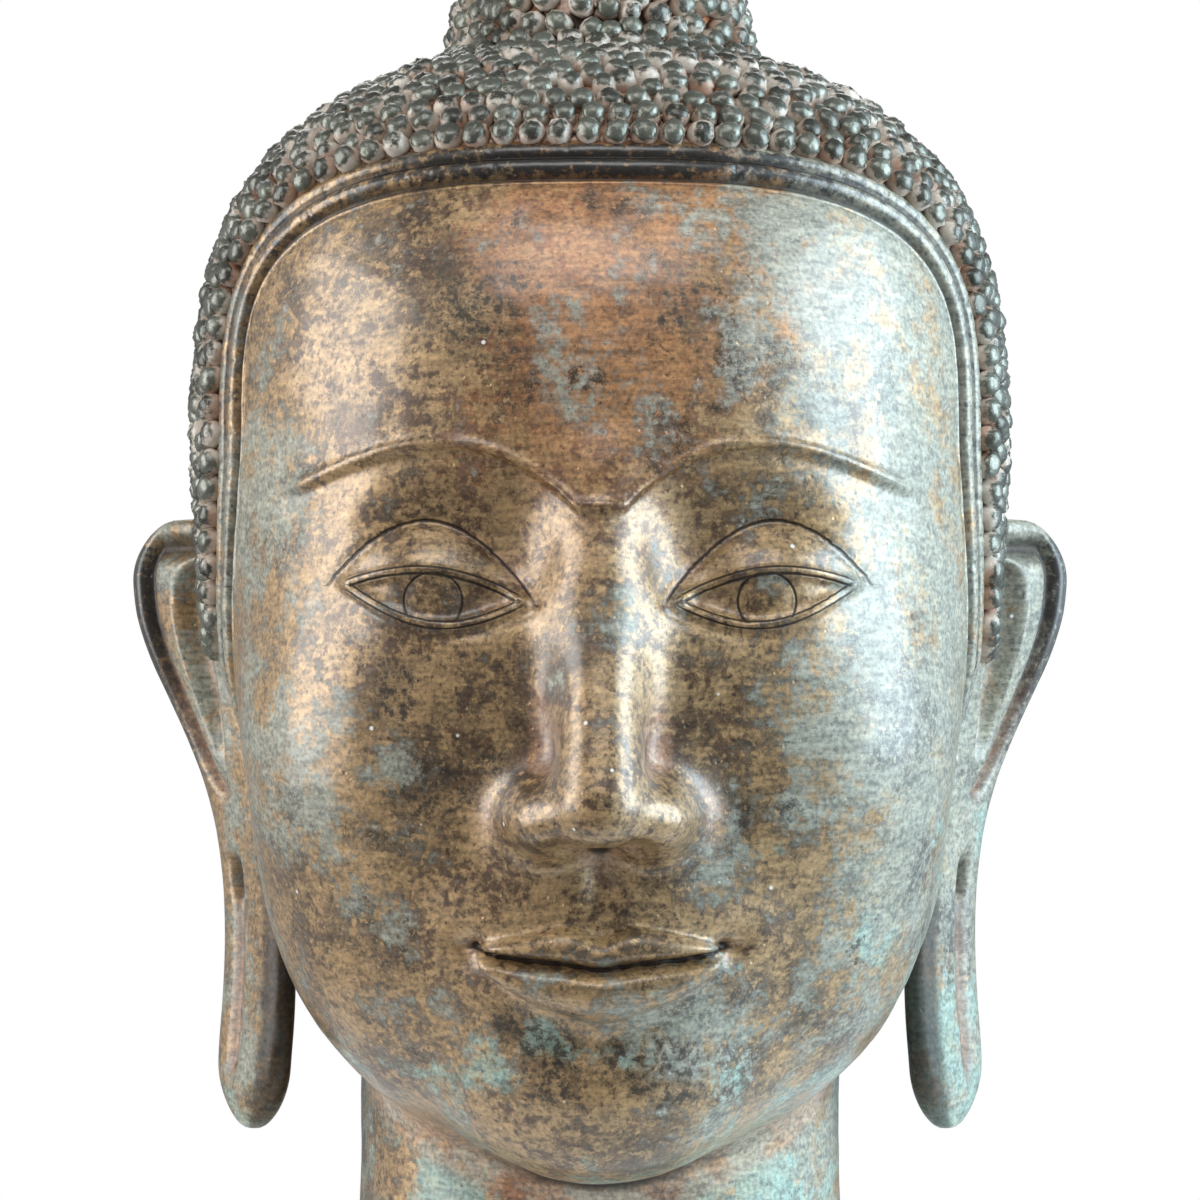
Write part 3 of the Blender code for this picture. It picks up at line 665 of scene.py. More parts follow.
def hollowness(mesh, fine_rounds, broad_rounds):
    """For each vertex, how far the surface is below its surroundings, near and far, in millimetres."""
    points = np.empty(len(mesh.vertices) * 3)
    mesh.vertices.foreach_get("co", points)
    points = points.reshape(-1, 3)
    normals = np.empty(len(mesh.vertices) * 3)
    mesh.vertices.foreach_get("normal", normals)
    normals = normals.reshape(-1, 3)
    edges = mesh_edges(mesh)
    near = neighbour_means(points, edges, fine_rounds)
    far = neighbour_means(near, edges, broad_rounds)
    return [1000 * ((place - points) * normals).sum(axis=1) for place in (near, far)]


def wandering(points, size):
    """A soft random height for each point, between about -1 and 1, with waves of this size in metres."""
    return np.array([noise.fractal(Vector(point) / size, 0.6, 2.0, 3) for point in points])


def band_profile(reach, sizes):
    """The moulding's height over the skin, by millimetres from its outer edge towards the face."""
    climb = np.clip(1 - reach / INNER_GROOVE[0], 0, 1.15)
    ridges = 0
    for middle, half in (OUTER_RIDGE, INNER_RIDGE):
        ridges = np.maximum(ridges, np.clip(1 - ((reach - middle) / half) ** 2, 0, 1) ** 0.55)
    groove = hump(reach - INNER_GROOVE[0], INNER_GROOVE[1])
    return sizes.band_step * climb + sizes.band_ridge * ridges - sizes.band_groove * groove


def band_foot(along):
    """One along the moulding, falling to nothing at its two feet."""
    return np.clip(np.minimum(along, 1 - along) / 0.045, 0, 1) ** 0.7


class BUDDHA_OT_skin(Operator):
    """Casts the skin: the bald head with its carving, let down where the moulding lies"""

    bl_idname = "buddha.skin"
    bl_label = "Bronze skin"

    def execute(self, context):
        sizes = context.scene.buddha_sizes
        millimetre = 1000 * sizes.head_height
        builder = bmesh.new()
        bmesh.ops.create_uvsphere(builder, u_segments=SKIN_COLUMNS, v_segments=SKIN_ROWS, radius=1)
        unit = np.array([vertex.co for vertex in builder.verts])
        depth = np.arccos(np.clip(unit[:, 2], -1, 1)) / math.pi
        longitude = np.arctan2(unit[:, 0], -unit[:, 1])
        turn = longitude - FACE_CROWDING * np.sin(longitude)
        foot = -sizes.neck_length / sizes.head_height
        level = np.interp(depth, ROW_STATIONS, (*ROW_LEVELS, foot, foot))
        pitch = np.radians(np.interp(depth, ROW_STATIONS, ROW_PITCHES))
        starts = np.column_stack([0 * turn, np.full_like(turn, CRANIUM.centre[1]), level])
        flat = np.cos(pitch)
        runs = np.column_stack([flat * np.sin(turn), -flat * np.cos(turn), np.sin(pitch)])
        points = dropped(starts, runs, head_form)
        shut = np.clip((1 - depth) / (1 - CUT_STARTS), 0, 1)[:, None]
        closed = depth > CUT_STARTS
        points[closed] = (starts + shut * (points - starts))[closed]
        even = eased(points, edge_ends(builder), head_form, 10)
        loose = np.clip((LOOSE_UNTIL - depth) / 0.02, 0, 1)
        points += loose[:, None] * (even - points)

        out = outward(points, head_form)
        band, along = distance_from_line(points, *hairline([BAND_FOOT_DEGREES], [BAND_FOOT]))
        band *= millimetre
        lift = -sizes.band_seat * band_foot(along) * within(band, 1, SEAT_END, 0.6)
        scalp = np.clip(hair_side(points) / 0.02, 0, 1)
        scalp = scalp * scalp * (3 - 2 * scalp)
        lift += sizes.hair_rise * scalp
        lift += sizes.unevenness * wandering(points * sizes.head_height, 0.030)
        points += (loose * (carved(points) + lift / sizes.head_height))[:, None] * out

        skin = finished(builder, points, "bronze_skin")
        across, height = np.abs(points[:, 0]), points[:, 2]
        front = within(points[:, 1], -1, CARVING_BACK, 0.004)
        parting = gap_to_line(across, height, lambda steps: lip_lines(steps)[0], 0, MOUTH_HALF + 0.004)
        near, far = hollowness(skin.data, 6, 50)
        keep_values(skin.data, "hollow", near, far, scalp)
        keep_values(skin.data, "lids", *(millimetre * gap for gap in eye_gaps(across, height)))
        keep_values(skin.data, "cuts", millimetre * iris_edge(across, height), millimetre * parting)
        spans = (
            (EYE_INNER, EYE_OUTER + 0.002),
            (EYE_INNER - LID_FOLD_OVERHANG, EYE_OUTER + 1.5 * LID_FOLD_OVERHANG),
            (-1, MOUTH_HALF + 0.004),
        )
        spans = [front * within(across, first, last, 0.0012) for first, last in spans]
        keep_values(skin.data, "spans", *spans)
        skin.data.materials.append(waxed_bronze())
        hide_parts(NODE)
        return {"FINISHED"}


class BUDDHA_OT_band(Operator):
    """Lays the double moulding along the hairline, from the front of one ear over to the other"""

    bl_idname = "buddha.band"
    bl_label = "Hairline moulding"

    def execute(self, context):
        sizes = context.scene.buddha_sizes
        builder = bmesh.new()
        bmesh.ops.create_grid(builder, x_segments=BAND_STATIONS, y_segments=BAND_COLUMNS, size=1)
        unit = np.array([vertex.co for vertex in builder.verts])
        along = 0.5 + 0.5 * unit[:, 0]
        reach = BAND_START + (BAND_END - BAND_START) * (0.5 + 0.5 * unit[:, 1])
        path, inward = hairline([BAND_FOOT_DEGREES], [BAND_FOOT])
        steps = np.linspace(0, 1, len(path))
        place, run = (
            np.column_stack([np.interp(along, steps, line[:, axis]) for axis in range(3)])
            for line in (path, inward)
        )
        points = place + run * (reach / 1000 / sizes.head_height)[:, None]
        for _ in range(3):
            points -= head_form(points)[:, None] * outward(points, head_form)
        full = band_foot(along)
        ends = 1 - within(reach, BAND_START + 0.4, BAND_END - 2.2, 0.25)
        lift = full * band_profile(reach, sizes) - BAND_FOOT_SINK * (1 - full) - BAND_EDGE_SINK * ends
        random = np.random.default_rng(NICK_SEED)
        for station in random.uniform(0.08, 0.92, NICKS):
            nick = hump(along - station, 0.0012) * hump(reach - random.choice([3.0, 10.0]), 2.0)
            lift -= random.uniform(*NICK_DEPTHS) * nick
        lift += 0.35 * sizes.unevenness * wandering(points * sizes.head_height, 0.012)
        points += (lift / sizes.head_height)[:, None] * outward(points, head_form)

        band = finished(builder, points, "hairline_moulding")
        thick = band.modifiers.new("thickness", "SOLIDIFY")
        thick.thickness = BAND_THICKNESS
        thick.offset = -1
        # Dirt with painted shade in the two grooves; soot on the ridges, heavier towards the middle of
        # the forehead as painted shade
        grooves = [hump(reach - middle, width) for middle, width in (OUTER_GROOVE, INNER_GROOVE)]
        soot = full * within(reach, 0.5, 13.5, 0.8) * (0.3 + 0.5 * hump(points[:, 0], 0.22))
        keep_values(band.data, "band", full * np.maximum(*grooves), soot)
        band.data.materials.append(waxed_bronze())
        return {"FINISHED"}


def ear_marks(along, height, length):
    """Where the ear's outer face has its groove, its slit and the pit at the slit's top."""
    edge = np.minimum(length - along, EAR_TOP - height) - GROOVE_INSET
    edge -= HOOK_TURN * np.exp(-np.abs(height - GROOVE_FOOT) / HOOK_LENGTH)
    groove = hump(edge, GROOVE_WIDTH) * within(height, GROOVE_FOOT, EAR_TOP, 0.004)
    groove *= within(along, GROOVE_FRONT, 1, 0.008)
    slit = hump(along - SLIT_ALONG, SLIT_HALF) * within(height, SLIT_FOOT, SLIT_TOP, 0.004)
    pit = hump(along - SLIT_ALONG, SLIT_HALF)
    pit *= within(height, PIT_LEVEL - PIT_HALF, PIT_LEVEL + PIT_HALF, 0.003)
    return groove, slit, pit


def ear_relief(along, height, length):
    """How deep the ear's outer face is hollowed, for places along its length and height."""
    groove, slit, pit = ear_marks(along, height, length)
    drop = np.clip((height - BOWL_FOOT) / (BOWL_TOP - BOWL_FOOT), 0, 1)
    width = BOWL_HALF * drop**0.7 * np.sqrt(1 - drop**5) + 0.001
    off = (along - BOWL_ALONG - BOWL_HALF * 0.6 * (1 - drop)) / width
    bowl = BOWL_DEPTH * np.sqrt(np.clip(1 - off**2, 0, 1)) * np.minimum(1, 2.5 * drop)
    rim = BOWL_EDGE * hump((np.abs(off) - 1) * width, BOWL_EDGE_WIDTH) * within(drop, 0.1, 0.97, 0.01)
    return bowl - rim + GROOVE_DEPTH * groove + SLIT_DEPTH * slit + PIT_DEPTH * pit


class BUDDHA_OT_ears(Operator):
    """Casts the two long ears, with their bowl, rim and the slit of the stretched lobe"""

    bl_idname = "buddha.ears"
    bl_label = "Long ears"

    def execute(self, context):
        sizes = context.scene.buddha_sizes
        for side, name in ((-1, "ear_left"), (1, "ear_right")):
            builder = bmesh.new()
            bmesh.ops.create_uvsphere(builder, u_segments=EAR_COLUMNS, v_segments=EAR_ROWS, radius=1)
            unit = np.array([vertex.co for vertex in builder.verts])
            up = 0.5 + np.arcsin(np.clip(unit[:, 2], -1, 1)) / math.pi
            height = EAR_TIP + (EAR_TOP - EAR_TIP) * up
            low = np.clip((height - EAR_TIP) / EAR_TIP_ROUNDING, 0, 1)
            high = np.clip((EAR_TOP - height) / EAR_TOP_ROUNDING, 0, 1)
            swell = (1 - (1 - low) ** 2) ** EAR_TIP_POINT * np.sqrt(1 - (1 - high) ** 2)
            across, back, length, depth, turn = (
                np.mean([np.interp(height + off, EAR_HEIGHTS, table) for off in EAR_SOFTENING], axis=0)
                for table in (EAR_ACROSS, EAR_BACK, EAR_LENGTHS, EAR_DEPTHS, EAR_TURNS)
            )
            section = np.hypot(unit[:, 0], unit[:, 1]) + 1e-9
            rear, out = unit[:, 1] / section, unit[:, 0] / section
            along = np.sign(rear) * np.abs(rear) ** (2 / EAR_POWER) * length * swell
            squared = np.sign(out) * np.abs(out) ** (2 / EAR_POWER)
            thick = squared * depth * swell**0.6
            thick -= np.maximum(squared, 0) * ear_relief(along, height, length * swell)
            turn = np.radians(turn)
            points = np.column_stack([
                across + along * np.sin(turn) + thick * np.cos(turn),
                back + along * np.cos(turn) - thick * np.sin(turn),
                height,
            ])
            points = neighbour_means(points, edge_ends(builder), 2)
            points *= (side, 1, 1)
            made = finished(builder, points, name)
            near, far = hollowness(made.data, 5, 40)
            # Dark marks of the ear: dirt with painted shade in the groove, the pit and the slit
            groove, slit, pit = (mark * (out > 0) for mark in ear_marks(along, height, length * swell))
            earth = groove * within(height, 0, 0.41, 0.02) + slit * within(height, 0, 0.2, 0.02)
            # Painted shade on the lobe's inner face, which turns towards the neck, and high in the bowl
            inner = within(height, 0, 0.28, 0.02) * within(rear, -2, -0.55, 0.05)
            bowl = within(along, BOWL_ALONG - BOWL_HALF, BOWL_ALONG + 0.9 * BOWL_HALF, 0.008) * (out > 0)
            bowl *= within(height, 0.43, BOWL_TOP, 0.02)
            dirt_and_shade = (groove * (1 - 0.7 * earth), pit, 0.5 * slit, 0.95 * inner, 0.6 * bowl)
            soot = 0.8 * within(height, 0.33, 1, 0.04) * within(along, 0.55 * length, 1, 0.006)
            keep_values(made.data, "hollow", near, far, 0.8 * earth)
            keep_values(made.data, "band", np.maximum.reduce(dirt_and_shade), soot)
            made.data.materials.append(waxed_bronze())
        return {"FINISHED"}


def scalp_form(points):
    """The distance of each point from the scalp, which stands over the skin of the face."""
    sizes = bpy.context.scene.buddha_sizes
    return skull_form(points) - sizes.hair_rise / sizes.head_height


def even_row(path, pitch, stagger):
    """Places along a closed line, a pitch apart and shifted by a share of it."""
    path = np.concatenate([path, path[:1]])
    length = np.append(0, np.cumsum(np.linalg.norm(np.diff(path, axis=0), axis=1)))
    count = round(length[-1] / pitch)
    places = (np.arange(count) + stagger) * length[-1] / count
    return np.column_stack([np.interp(places, length, path[:, axis]) for axis in range(3)])


def first_rows(path, inward, pitch):
    """Staggered rows of curls that follow the hairline, without those that would crowd a corner."""
    kept = []
    for row in range(FIXED_ROWS):
        line = path - inward * pitch * (FIRST_ROW + ROW_SPACING * row)
        for _ in range(3):
            line -= scalp_form(line)[:, None] * outward(line, scalp_form)
        for place in even_row(line, pitch, 0.5 * (row % 2)):
            if all(((place - other) ** 2).sum() > (0.72 * pitch) ** 2 for other in kept[-400:]):
                kept.append(place)
    return np.array(kept)


def scalp_samples():
    """Places all over the scalp, and the area that each stands for."""
    number = np.arange(SCALP_SAMPLES) + 0.5
    lean = np.arccos(1 - 2 * number / SCALP_SAMPLES)
    turn = number * math.pi * (1 + math.sqrt(5))
    runs = np.column_stack([np.sin(lean) * np.cos(turn), np.sin(lean) * np.sin(turn), np.cos(lean)])
    points = dropped(np.tile(CRANIUM.centre, (SCALP_SAMPLES, 1)).astype(float), runs, scalp_form)
    facing = np.clip((runs * outward(points, scalp_form)).sum(axis=1), 0.15, 1)
    return points, ((points - CRANIUM.centre) ** 2).sum(axis=1) * 4 * math.pi / SCALP_SAMPLES / facing


def curl_places(sizes):
    """Places on the scalp for the curls: rows along the hairline, and the rest spread evenly."""
    pitch = sizes.curl_pitch / sizes.head_height
    path, inward = hairline(SIDE_DEGREES, SIDE_HEIGHTS)
    fixed = first_rows(path, inward, pitch)
    points, areas = scalp_samples()
    gap, _ = distance_from_line(points, path, inward)
    clear = pitch * (FIRST_ROW + ROW_SPACING * (FIXED_ROWS - 0.5))
    free = (hair_side(points) > 0) & (np.abs(gap) > clear)
    points, areas = points[free], areas[free]
    random = np.random.default_rng(SPREAD_SEED)
    count = round(areas.sum() / (ROW_SPACING * pitch**2))
    loose = points[random.choice(len(points), count, replace=False, p=areas / areas.sum())]
    every = count + len(fixed)
    for _ in range(SPREADING_ROUNDS):
        tree = kdtree.KDTree(every)
        for index, place in enumerate(np.concatenate([loose, fixed])):
            tree.insert(place, index)
        tree.balance()
        owner = np.array([tree.find(place)[1] for place in points])
        weight = np.bincount(owner, areas, every)[:count] + 1e-12
        middle = [np.bincount(owner, areas * points[:, axis], every) for axis in range(3)]
        moved = np.array(middle).T[:count] / weight[:, None]
        loose = np.where(weight[:, None] > 1e-9, moved, loose)
        loose -= scalp_form(loose)[:, None] * outward(loose, scalp_form)
    places = np.concatenate([fixed, loose])
    return places, outward(places, scalp_form)


class BUDDHA_OT_curls(Operator):
    """Sets a cast curl on every place of the scalp"""

    bl_idname = "buddha.curls"
    bl_label = "Curled hair"

    def execute(self, context):
        sizes = context.scene.buddha_sizes
        places, normals = curl_places(sizes)
        path, inward = hairline(SIDE_DEGREES, SIDE_HEIGHTS)
        gap, along = distance_from_line(places, path, inward)
        lean = FRONT_LEAN * np.exp(-np.abs(gap) * sizes.head_height / FRONT_LEAN_REACH)
        leaning = lean[:, None] * inward[np.round(along * (len(path) - 1)).astype(int)]
        places = to_metres(places)
        count = len(places)
        random = np.random.default_rng(CURL_SEED)
        pattern = bmesh.new()
        bmesh.ops.create_uvsphere(pattern, u_segments=CURL_SIDES, v_segments=CURL_RINGS, radius=1)
        unit = np.array([vertex.co for vertex in pattern.verts])
        faces = [[vertex.index for vertex in face.verts] for face in pattern.faces]
        pattern.free()
        polar, around = np.arccos(np.clip(unit[:, 2], -1, 1)), np.arctan2(unit[:, 1], unit[:, 0])
        below = np.clip(2 * polar / math.pi - 1, 0, 1)
        dome = DOMED_SHARE * (1 - np.cos(np.minimum(polar, math.pi / 2)))
        level = 1 - dome - (1 + ROOT_DEPTH - DOMED_SHARE) * below
        width = np.sin(np.minimum(polar, math.pi / 2)) ** 0.9 * (1 + 0.18 * below) * (below < 0.99)

        axis = normals + leaning + SCATTERED_LEAN * random.normal(size=(count, 3))
        axis /= np.linalg.norm(axis, axis=1, keepdims=True)
        first = np.cross(axis, random.normal(size=(count, 3)))
        first /= np.linalg.norm(first, axis=1, keepdims=True)
        second = np.cross(axis, first)
        worn = np.where(random.random(count) < WORN_SHARE, WORN_HEIGHT, 1.0)
        tall = sizes.curl_height * random.uniform(0.82, 1.0, count) * worn
        radius = sizes.curl_radius * random.uniform(0.93, 1.07, count)
        oval = random.uniform(0.0, 0.10, count)
        wave = 1 + oval[:, None] * np.cos(2 * around) + 0.055 * random.normal(size=(count, len(unit)))
        reach = radius[:, None] * width * wave
        rise = tall[:, None] * level * (1 + 0.035 * random.normal(size=(count, len(unit))))
        points = (
            places[:, None]
            + axis[:, None] * rise[..., None]
            + first[:, None] * (reach * np.cos(around))[..., None]
            + second[:, None] * (reach * np.sin(around))[..., None]
        )
        shade = np.repeat(random.random(count), len(unit)).reshape(count, -1)
        for number, group in enumerate(np.array_split(np.argsort(places[:, 1]), CURL_PIECES)):
            mesh = bpy.data.meshes.new(f"curls_{number + 1}")
            skip = np.arange(len(group)) * len(unit)
            every = [[index + start for index in face] for start in skip for face in faces]
            mesh.from_pydata(inside_box(points[group].reshape(-1, 3)), [], every)
            mesh.shade_smooth()
            keep_values(mesh, "curl", np.tile(level, len(group)), shade[group].ravel())
            made = bpy.data.objects.new(mesh.name, mesh)
            context.scene.collection.objects.link(made)
            made.data.materials.append(rubbed_bronze())
            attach(made, BODY)
        return {"FINISHED"}


def node(tree, kind, *values, output=0, **settings):
    """A shader node with its settings: the values fill its inputs in order, as numbers or links."""
    made = tree.nodes.new("ShaderNode" + kind)
    for name, value in settings.items():
        setattr(made, name, value)
    for socket, value in zip([socket for socket in made.inputs if socket.enabled], values):
        if isinstance(value, bpy.types.NodeSocket):
            tree.links.new(value, socket)
        elif value is not None:
            socket.default_value = value
    return [socket for socket in made.outputs if socket.enabled][output]


def new_material(name):
    """A material with a plain Principled shader, its tree, and the shader's inputs."""
    material = bpy.data.materials.new(name)
    material.use_nodes = True
    return material, material.node_tree, material.node_tree.nodes["Principled BSDF"].inputs


def paints():
    """The patina's colours by name, each with full alpha."""
    colours = bpy.context.scene.buddha_colours
    return {name: (*getattr(colours, name), 1) for name in colours.__annotations__}


def grain(tree, millimetres, detail, roughness=0.6, stretch=(1, 1, 1)):
    """A random pattern whose patches are about this many millimetres across."""
    place = node(tree, "TexCoord", output=3)
    place = node(tree, "Mapping", place, None, None, stretch)
    return node(tree, "TexNoise", place, 500 / millimetres, detail, roughness)


def weighed(tree, start, *parts):
    """A pattern with others added to it, each times its own weight."""
    for pattern, weight in parts:
        start = node(tree, "Math", pattern, weight, start, operation="MULTIPLY_ADD")
    return start


def cut_line(tree, distance, place, half_width):
    """One on the line at this distance, falling to nothing half a width away."""
    off = node(tree, "Math", distance, place, operation="SUBTRACT")
    off = node(tree, "Math", off, operation="ABSOLUTE")
    return node(tree, "MapRange", off, half_width, 0.2 * half_width, **SOFT)


def stains(tree, edge):
    """How strongly the old stains of the face's side darken each place, with ragged edges."""
    place = node(tree, "TexCoord", output=3)
    ragged = node(tree, "TexNoise", place, 34, 8, 0.75, output=1)
    ragged = node(tree, "VectorMath", ragged, (0.5, 0.5, 0.5), operation="SUBTRACT")
    ragged = node(tree, "VectorMath", ragged, (0.08, 0, 0.08), operation="MULTIPLY")
    flat = node(tree, "VectorMath", place, (1, 0, 1), ragged, operation="MULTIPLY_ADD")
    total = 0.0
    for across, height, radius, strength in DARK_STAINS:
        away = node(tree, "VectorMath", flat, (across, 0, height), output=0, operation="DISTANCE")
        away = weighed(tree, away, (edge, -0.3 * radius))
        amount = node(tree, "MapRange", away, 1.15 * radius, 0.15 * radius, 0.0, strength, **SOFT)
        total = node(tree, "Math", amount, total, operation="MAXIMUM")
    front = node(tree, "MapRange", node(tree, "SeparateXYZ", place, output=1), -0.05, -0.09, **SOFT)
    return node(tree, "Math", total, front, operation="MULTIPLY")


def carved_lines(tree, near):
    """The thin dark lines of the face and the near-black of its narrow hollows: dirt, with painted shade
    in the creases and hollows.
    """
    lids = node(tree, "Attribute", attribute_name="lids", output=1)
    upper, lower, fold = (node(tree, "SeparateXYZ", lids, output=axis) for axis in range(3))
    spans = node(tree, "Attribute", attribute_name="spans", output=1)
    eyes, folds, mouth = (node(tree, "SeparateXYZ", spans, output=axis) for axis in range(3))
    cuts = node(tree, "Attribute", attribute_name="cuts", output=1)
    iris, parting = (node(tree, "SeparateXYZ", cuts, output=axis) for axis in (0, 1))
    under = node(tree, "MapRange", upper, 0.4, -0.2, **SOFT)
    over = node(tree, "MapRange", lower, -0.4, 0.2, **SOFT)
    eye = node(tree, "Math", under, over, operation="MULTIPLY")
    eye = node(tree, "Math", eye, eyes, operation="MULTIPLY")
    cuts = node(tree, "Math", cut_line(tree, iris, 0.0, 0.8), eye, operation="MULTIPLY")
    # Lines in the creases along the lids' edges, over the lids and between the lips: dirt with painted
    # shade
    for distance, place, half_width, reach in (
        (fold, 0.0, 0.9, folds),
        (upper, 2.1, 0.6, eyes),
        (lower, -2.3, 0.6, eyes),
        (upper, -0.7, 0.8, eyes),
        (lower, 0.5, 0.5, eyes),
        (parting, 0.0, 0.9, mouth),
    ):
        cut = node(tree, "Math", cut_line(tree, distance, place, half_width), reach, operation="MULTIPLY")
        cuts = node(tree, "Math", cuts, cut, operation="MAXIMUM")
    skin = node(tree, "Math", 1.0, eye, operation="SUBTRACT")
    # Near-black where the skin lies below its neighbours: painted shade with dirt in the narrow hollows
    held = node(tree, "MapRange", near, 0.60, 1.40, **SOFT)
    held = node(tree, "Math", held, skin, operation="MULTIPLY")
    return node(tree, "Math", cuts, held, operation="MAXIMUM")


def waxed_bronze():
    """The skin, the moulding and the ears."""
    # Cast bronze, patinated brown and waxed: a satin olive tan with sooty blotches that have crumbly
    # edges, a pale grey-green film at the sides that is partly a painted sheen, blue-green low down,
    # earth in the hollows, dirt with painted shade in the cuts and deep hollows, and a clear neutral
    # gloss over all of it
    name = "Cast bronze, waxed brown patina"
    if name in bpy.data.materials:
        return bpy.data.materials[name]
    paint = paints()
    material, tree, shader = new_material(name)
    hollow = node(tree, "Attribute", attribute_name="hollow", output=1)
    near, far, held_earth = (node(tree, "SeparateXYZ", hollow, output=axis) for axis in range(3))
    place = node(tree, "TexCoord", output=3)
    x, height = (node(tree, "SeparateXYZ", place, output=axis) for axis in (0, 2))
    side = node(tree, "Math", x, operation="ABSOLUTE")

    grit = grain(tree, 0.9, 2, 0.5)
    speck = grain(tree, 2.2, 6, 0.72)
    cloud = grain(tree, 11, 9, 0.68)
    drift = grain(tree, 45, 4, 0.55)
    brushed = grain(tree, 1.3, 3, 0.6, (0.12, 0.5, 1))

    # Brown in two tones, ruddier in the middle of the forehead
    tone = node(tree, "MapRange", weighed(tree, 0.0, (speck, 0.50), (cloud, 0.50)), 0.47, 0.56, **SOFT)
    colour = node(tree, "Mix", tone, paint["tan"], paint["umber"], **RGBA)
    ruddy = weighed(tree, drift, (side, -2.2), (speck, 0.4))
    ruddy = node(tree, "MapRange", ruddy, 0.50, 0.66, 0.0, 0.55, **SOFT)
    high = node(tree, "MapRange", height, 0.30, 0.40, **SOFT)
    ruddy = node(tree, "Math", ruddy, high, operation="MULTIPLY")
    colour = node(tree, "Mix", ruddy, colour, paint["rust"], **RGBA)

    # Pale grey-green film, broad towards the sides and more on the right: partly real film, partly a
    # painted pale sheen where the sides face the softboxes
    film_and_sheen = weighed(tree, drift, (cloud, 1.0), (side, 1.9), (x, 0.9), (speck, 0.7))
    film_and_sheen = node(tree, "MapRange", film_and_sheen, 1.45, 1.66, 0.0, 0.80, **SOFT)
    colour = node(tree, "Mix", film_and_sheen, colour, paint["film"], **RGBA)

    # Blue-green corrosion, low down and more on one side
    low = node(tree, "MapRange", height, 0.26, 0.06)
    green = weighed(tree, grain(tree, 19, 9, 0.66), (low, 0.24), (x, 0.22), (side, 0.30), (speck, 0.20))
    green = node(tree, "MapRange", green, 0.81, 0.91, 0.0, 0.62, **SOFT)
    colour = node(tree, "Mix", green, colour, paint["verdigris"], **RGBA)

    # Soot in crumbly patches, and the moulding's stored soot, which is heavier towards the middle of the
    # forehead as painted shade
    blotch = weighed(tree, 0.0, (grain(tree, 30, 10, 0.74), 0.66), (speck, 0.34))
    blotch = node(tree, "MapRange", blotch, 0.505, 0.540, 0.0, 0.9, **SOFT)
    stained = weighed(tree, stains(tree, cloud), (speck, -1.2), (cloud, -1.2))
    stained = node(tree, "MapRange", stained, -0.80, -0.42, 0.0, 0.9, **SOFT)
    broken = node(tree, "MapRange", speck, 0.58, 0.42, **SOFT)
    soot_and_shade = node(tree, "Math", blotch, stained, operation="MAXIMUM")
    soot_and_shade = node(tree, "Math", soot_and_shade, broken, operation="MULTIPLY")
    peppered = node(tree, "MapRange", grain(tree, 1.1, 4, 0.6), 0.60, 0.68, 0.0, 0.55, **SOFT)
    soot_and_shade = node(tree, "Math", soot_and_shade, peppered, operation="MAXIMUM")
    # Stored dark marks: the moulding's grooves, with dirt and painted shade, and its soot, with painted
    # shade towards the middle; the ears' cuts, with dirt and painted shade, and painted shade on their
    # inner lobes and in their bowls
    band = node(tree, "Attribute", attribute_name="band", output=1)
    cut, stored_soot_and_shade = (node(tree, "SeparateXYZ", band, output=axis) for axis in (0, 1))
    stored_soot_and_shade = node(tree, "MapRange", weighed(tree, speck, (stored_soot_and_shade, 0.5)), 0.66, 0.86, **SOFT)
    soot_and_shade = node(tree, "Math", soot_and_shade, stored_soot_and_shade, operation="MAXIMUM")
    colour = node(tree, "Mix", soot_and_shade, colour, paint["charcoal"], **RGBA)

    # Earth in the hollows, and near-black in the cuts, the creases and the deep hollows: dirt with
    # painted shade
    earth = node(tree, "MapRange", weighed(tree, far, (speck, 0.9)), 1.5, 3.0, 0.0, 0.4, **SOFT)
    earth = node(tree, "Math", earth, held_earth, operation="MAXIMUM")
    soil = node(tree, "MapRange", cloud, 0.48, 0.60, **SOFT)
    soil = node(tree, "Mix", soil, paint["dust"], paint["rust"], **RGBA)
    colour = node(tree, "Mix", earth, colour, soil, **RGBA)
    lines = node(tree, "Math", carved_lines(tree, near), cut, operation="MAXIMUM")
    dirt_and_painted_shade = node(tree, "Math", lines, 0.92, operation="MULTIPLY")
    colour = node(tree, "Mix", dirt_and_painted_shade, colour, paint["groove"], **RGBA)

    # Fine shading of the grain, and pale chips
    shade = node(tree, "MapRange", weighed(tree, grit, (brushed, 1.0)), 0.75, 1.25, 0.52, 1.42)
    shade = node(tree, "CombineColor", shade, shade, shade)
    colour = node(tree, "Mix", 1.0, colour, shade, blend_type="MULTIPLY", **RGBA)
    flaked = node(tree, "MapRange", node(tree, "TexVoronoi", place, 42), 0.045, 0.03, **SOFT)
    colour = node(tree, "Mix", flaked, colour, paint["chip"], **RGBA)
    tree.links.new(colour, shader["Base Color"])

    # Dusty places are matt and dull, sooty ones smooth
    matt = weighed(tree, earth, (green, 1.0), (film_and_sheen, 1.0))
    rough = node(tree, "MapRange", matt, 0.0, 1.2, 0.34, 0.56)
    tree.links.new(weighed(tree, rough, (soot_and_shade, -0.08), (speck, 0.12)), shader["Roughness"])
    tree.links.new(node(tree, "MapRange", matt, 0.0, 1.0, 0.34, 0.10), shader["Metallic"])
    tree.links.new(node(tree, "MapRange", lines, 0.0, 1.0, 0.80, 0.05), shader["Coat Weight"])
    shader["Coat Roughness"].default_value = 0.27

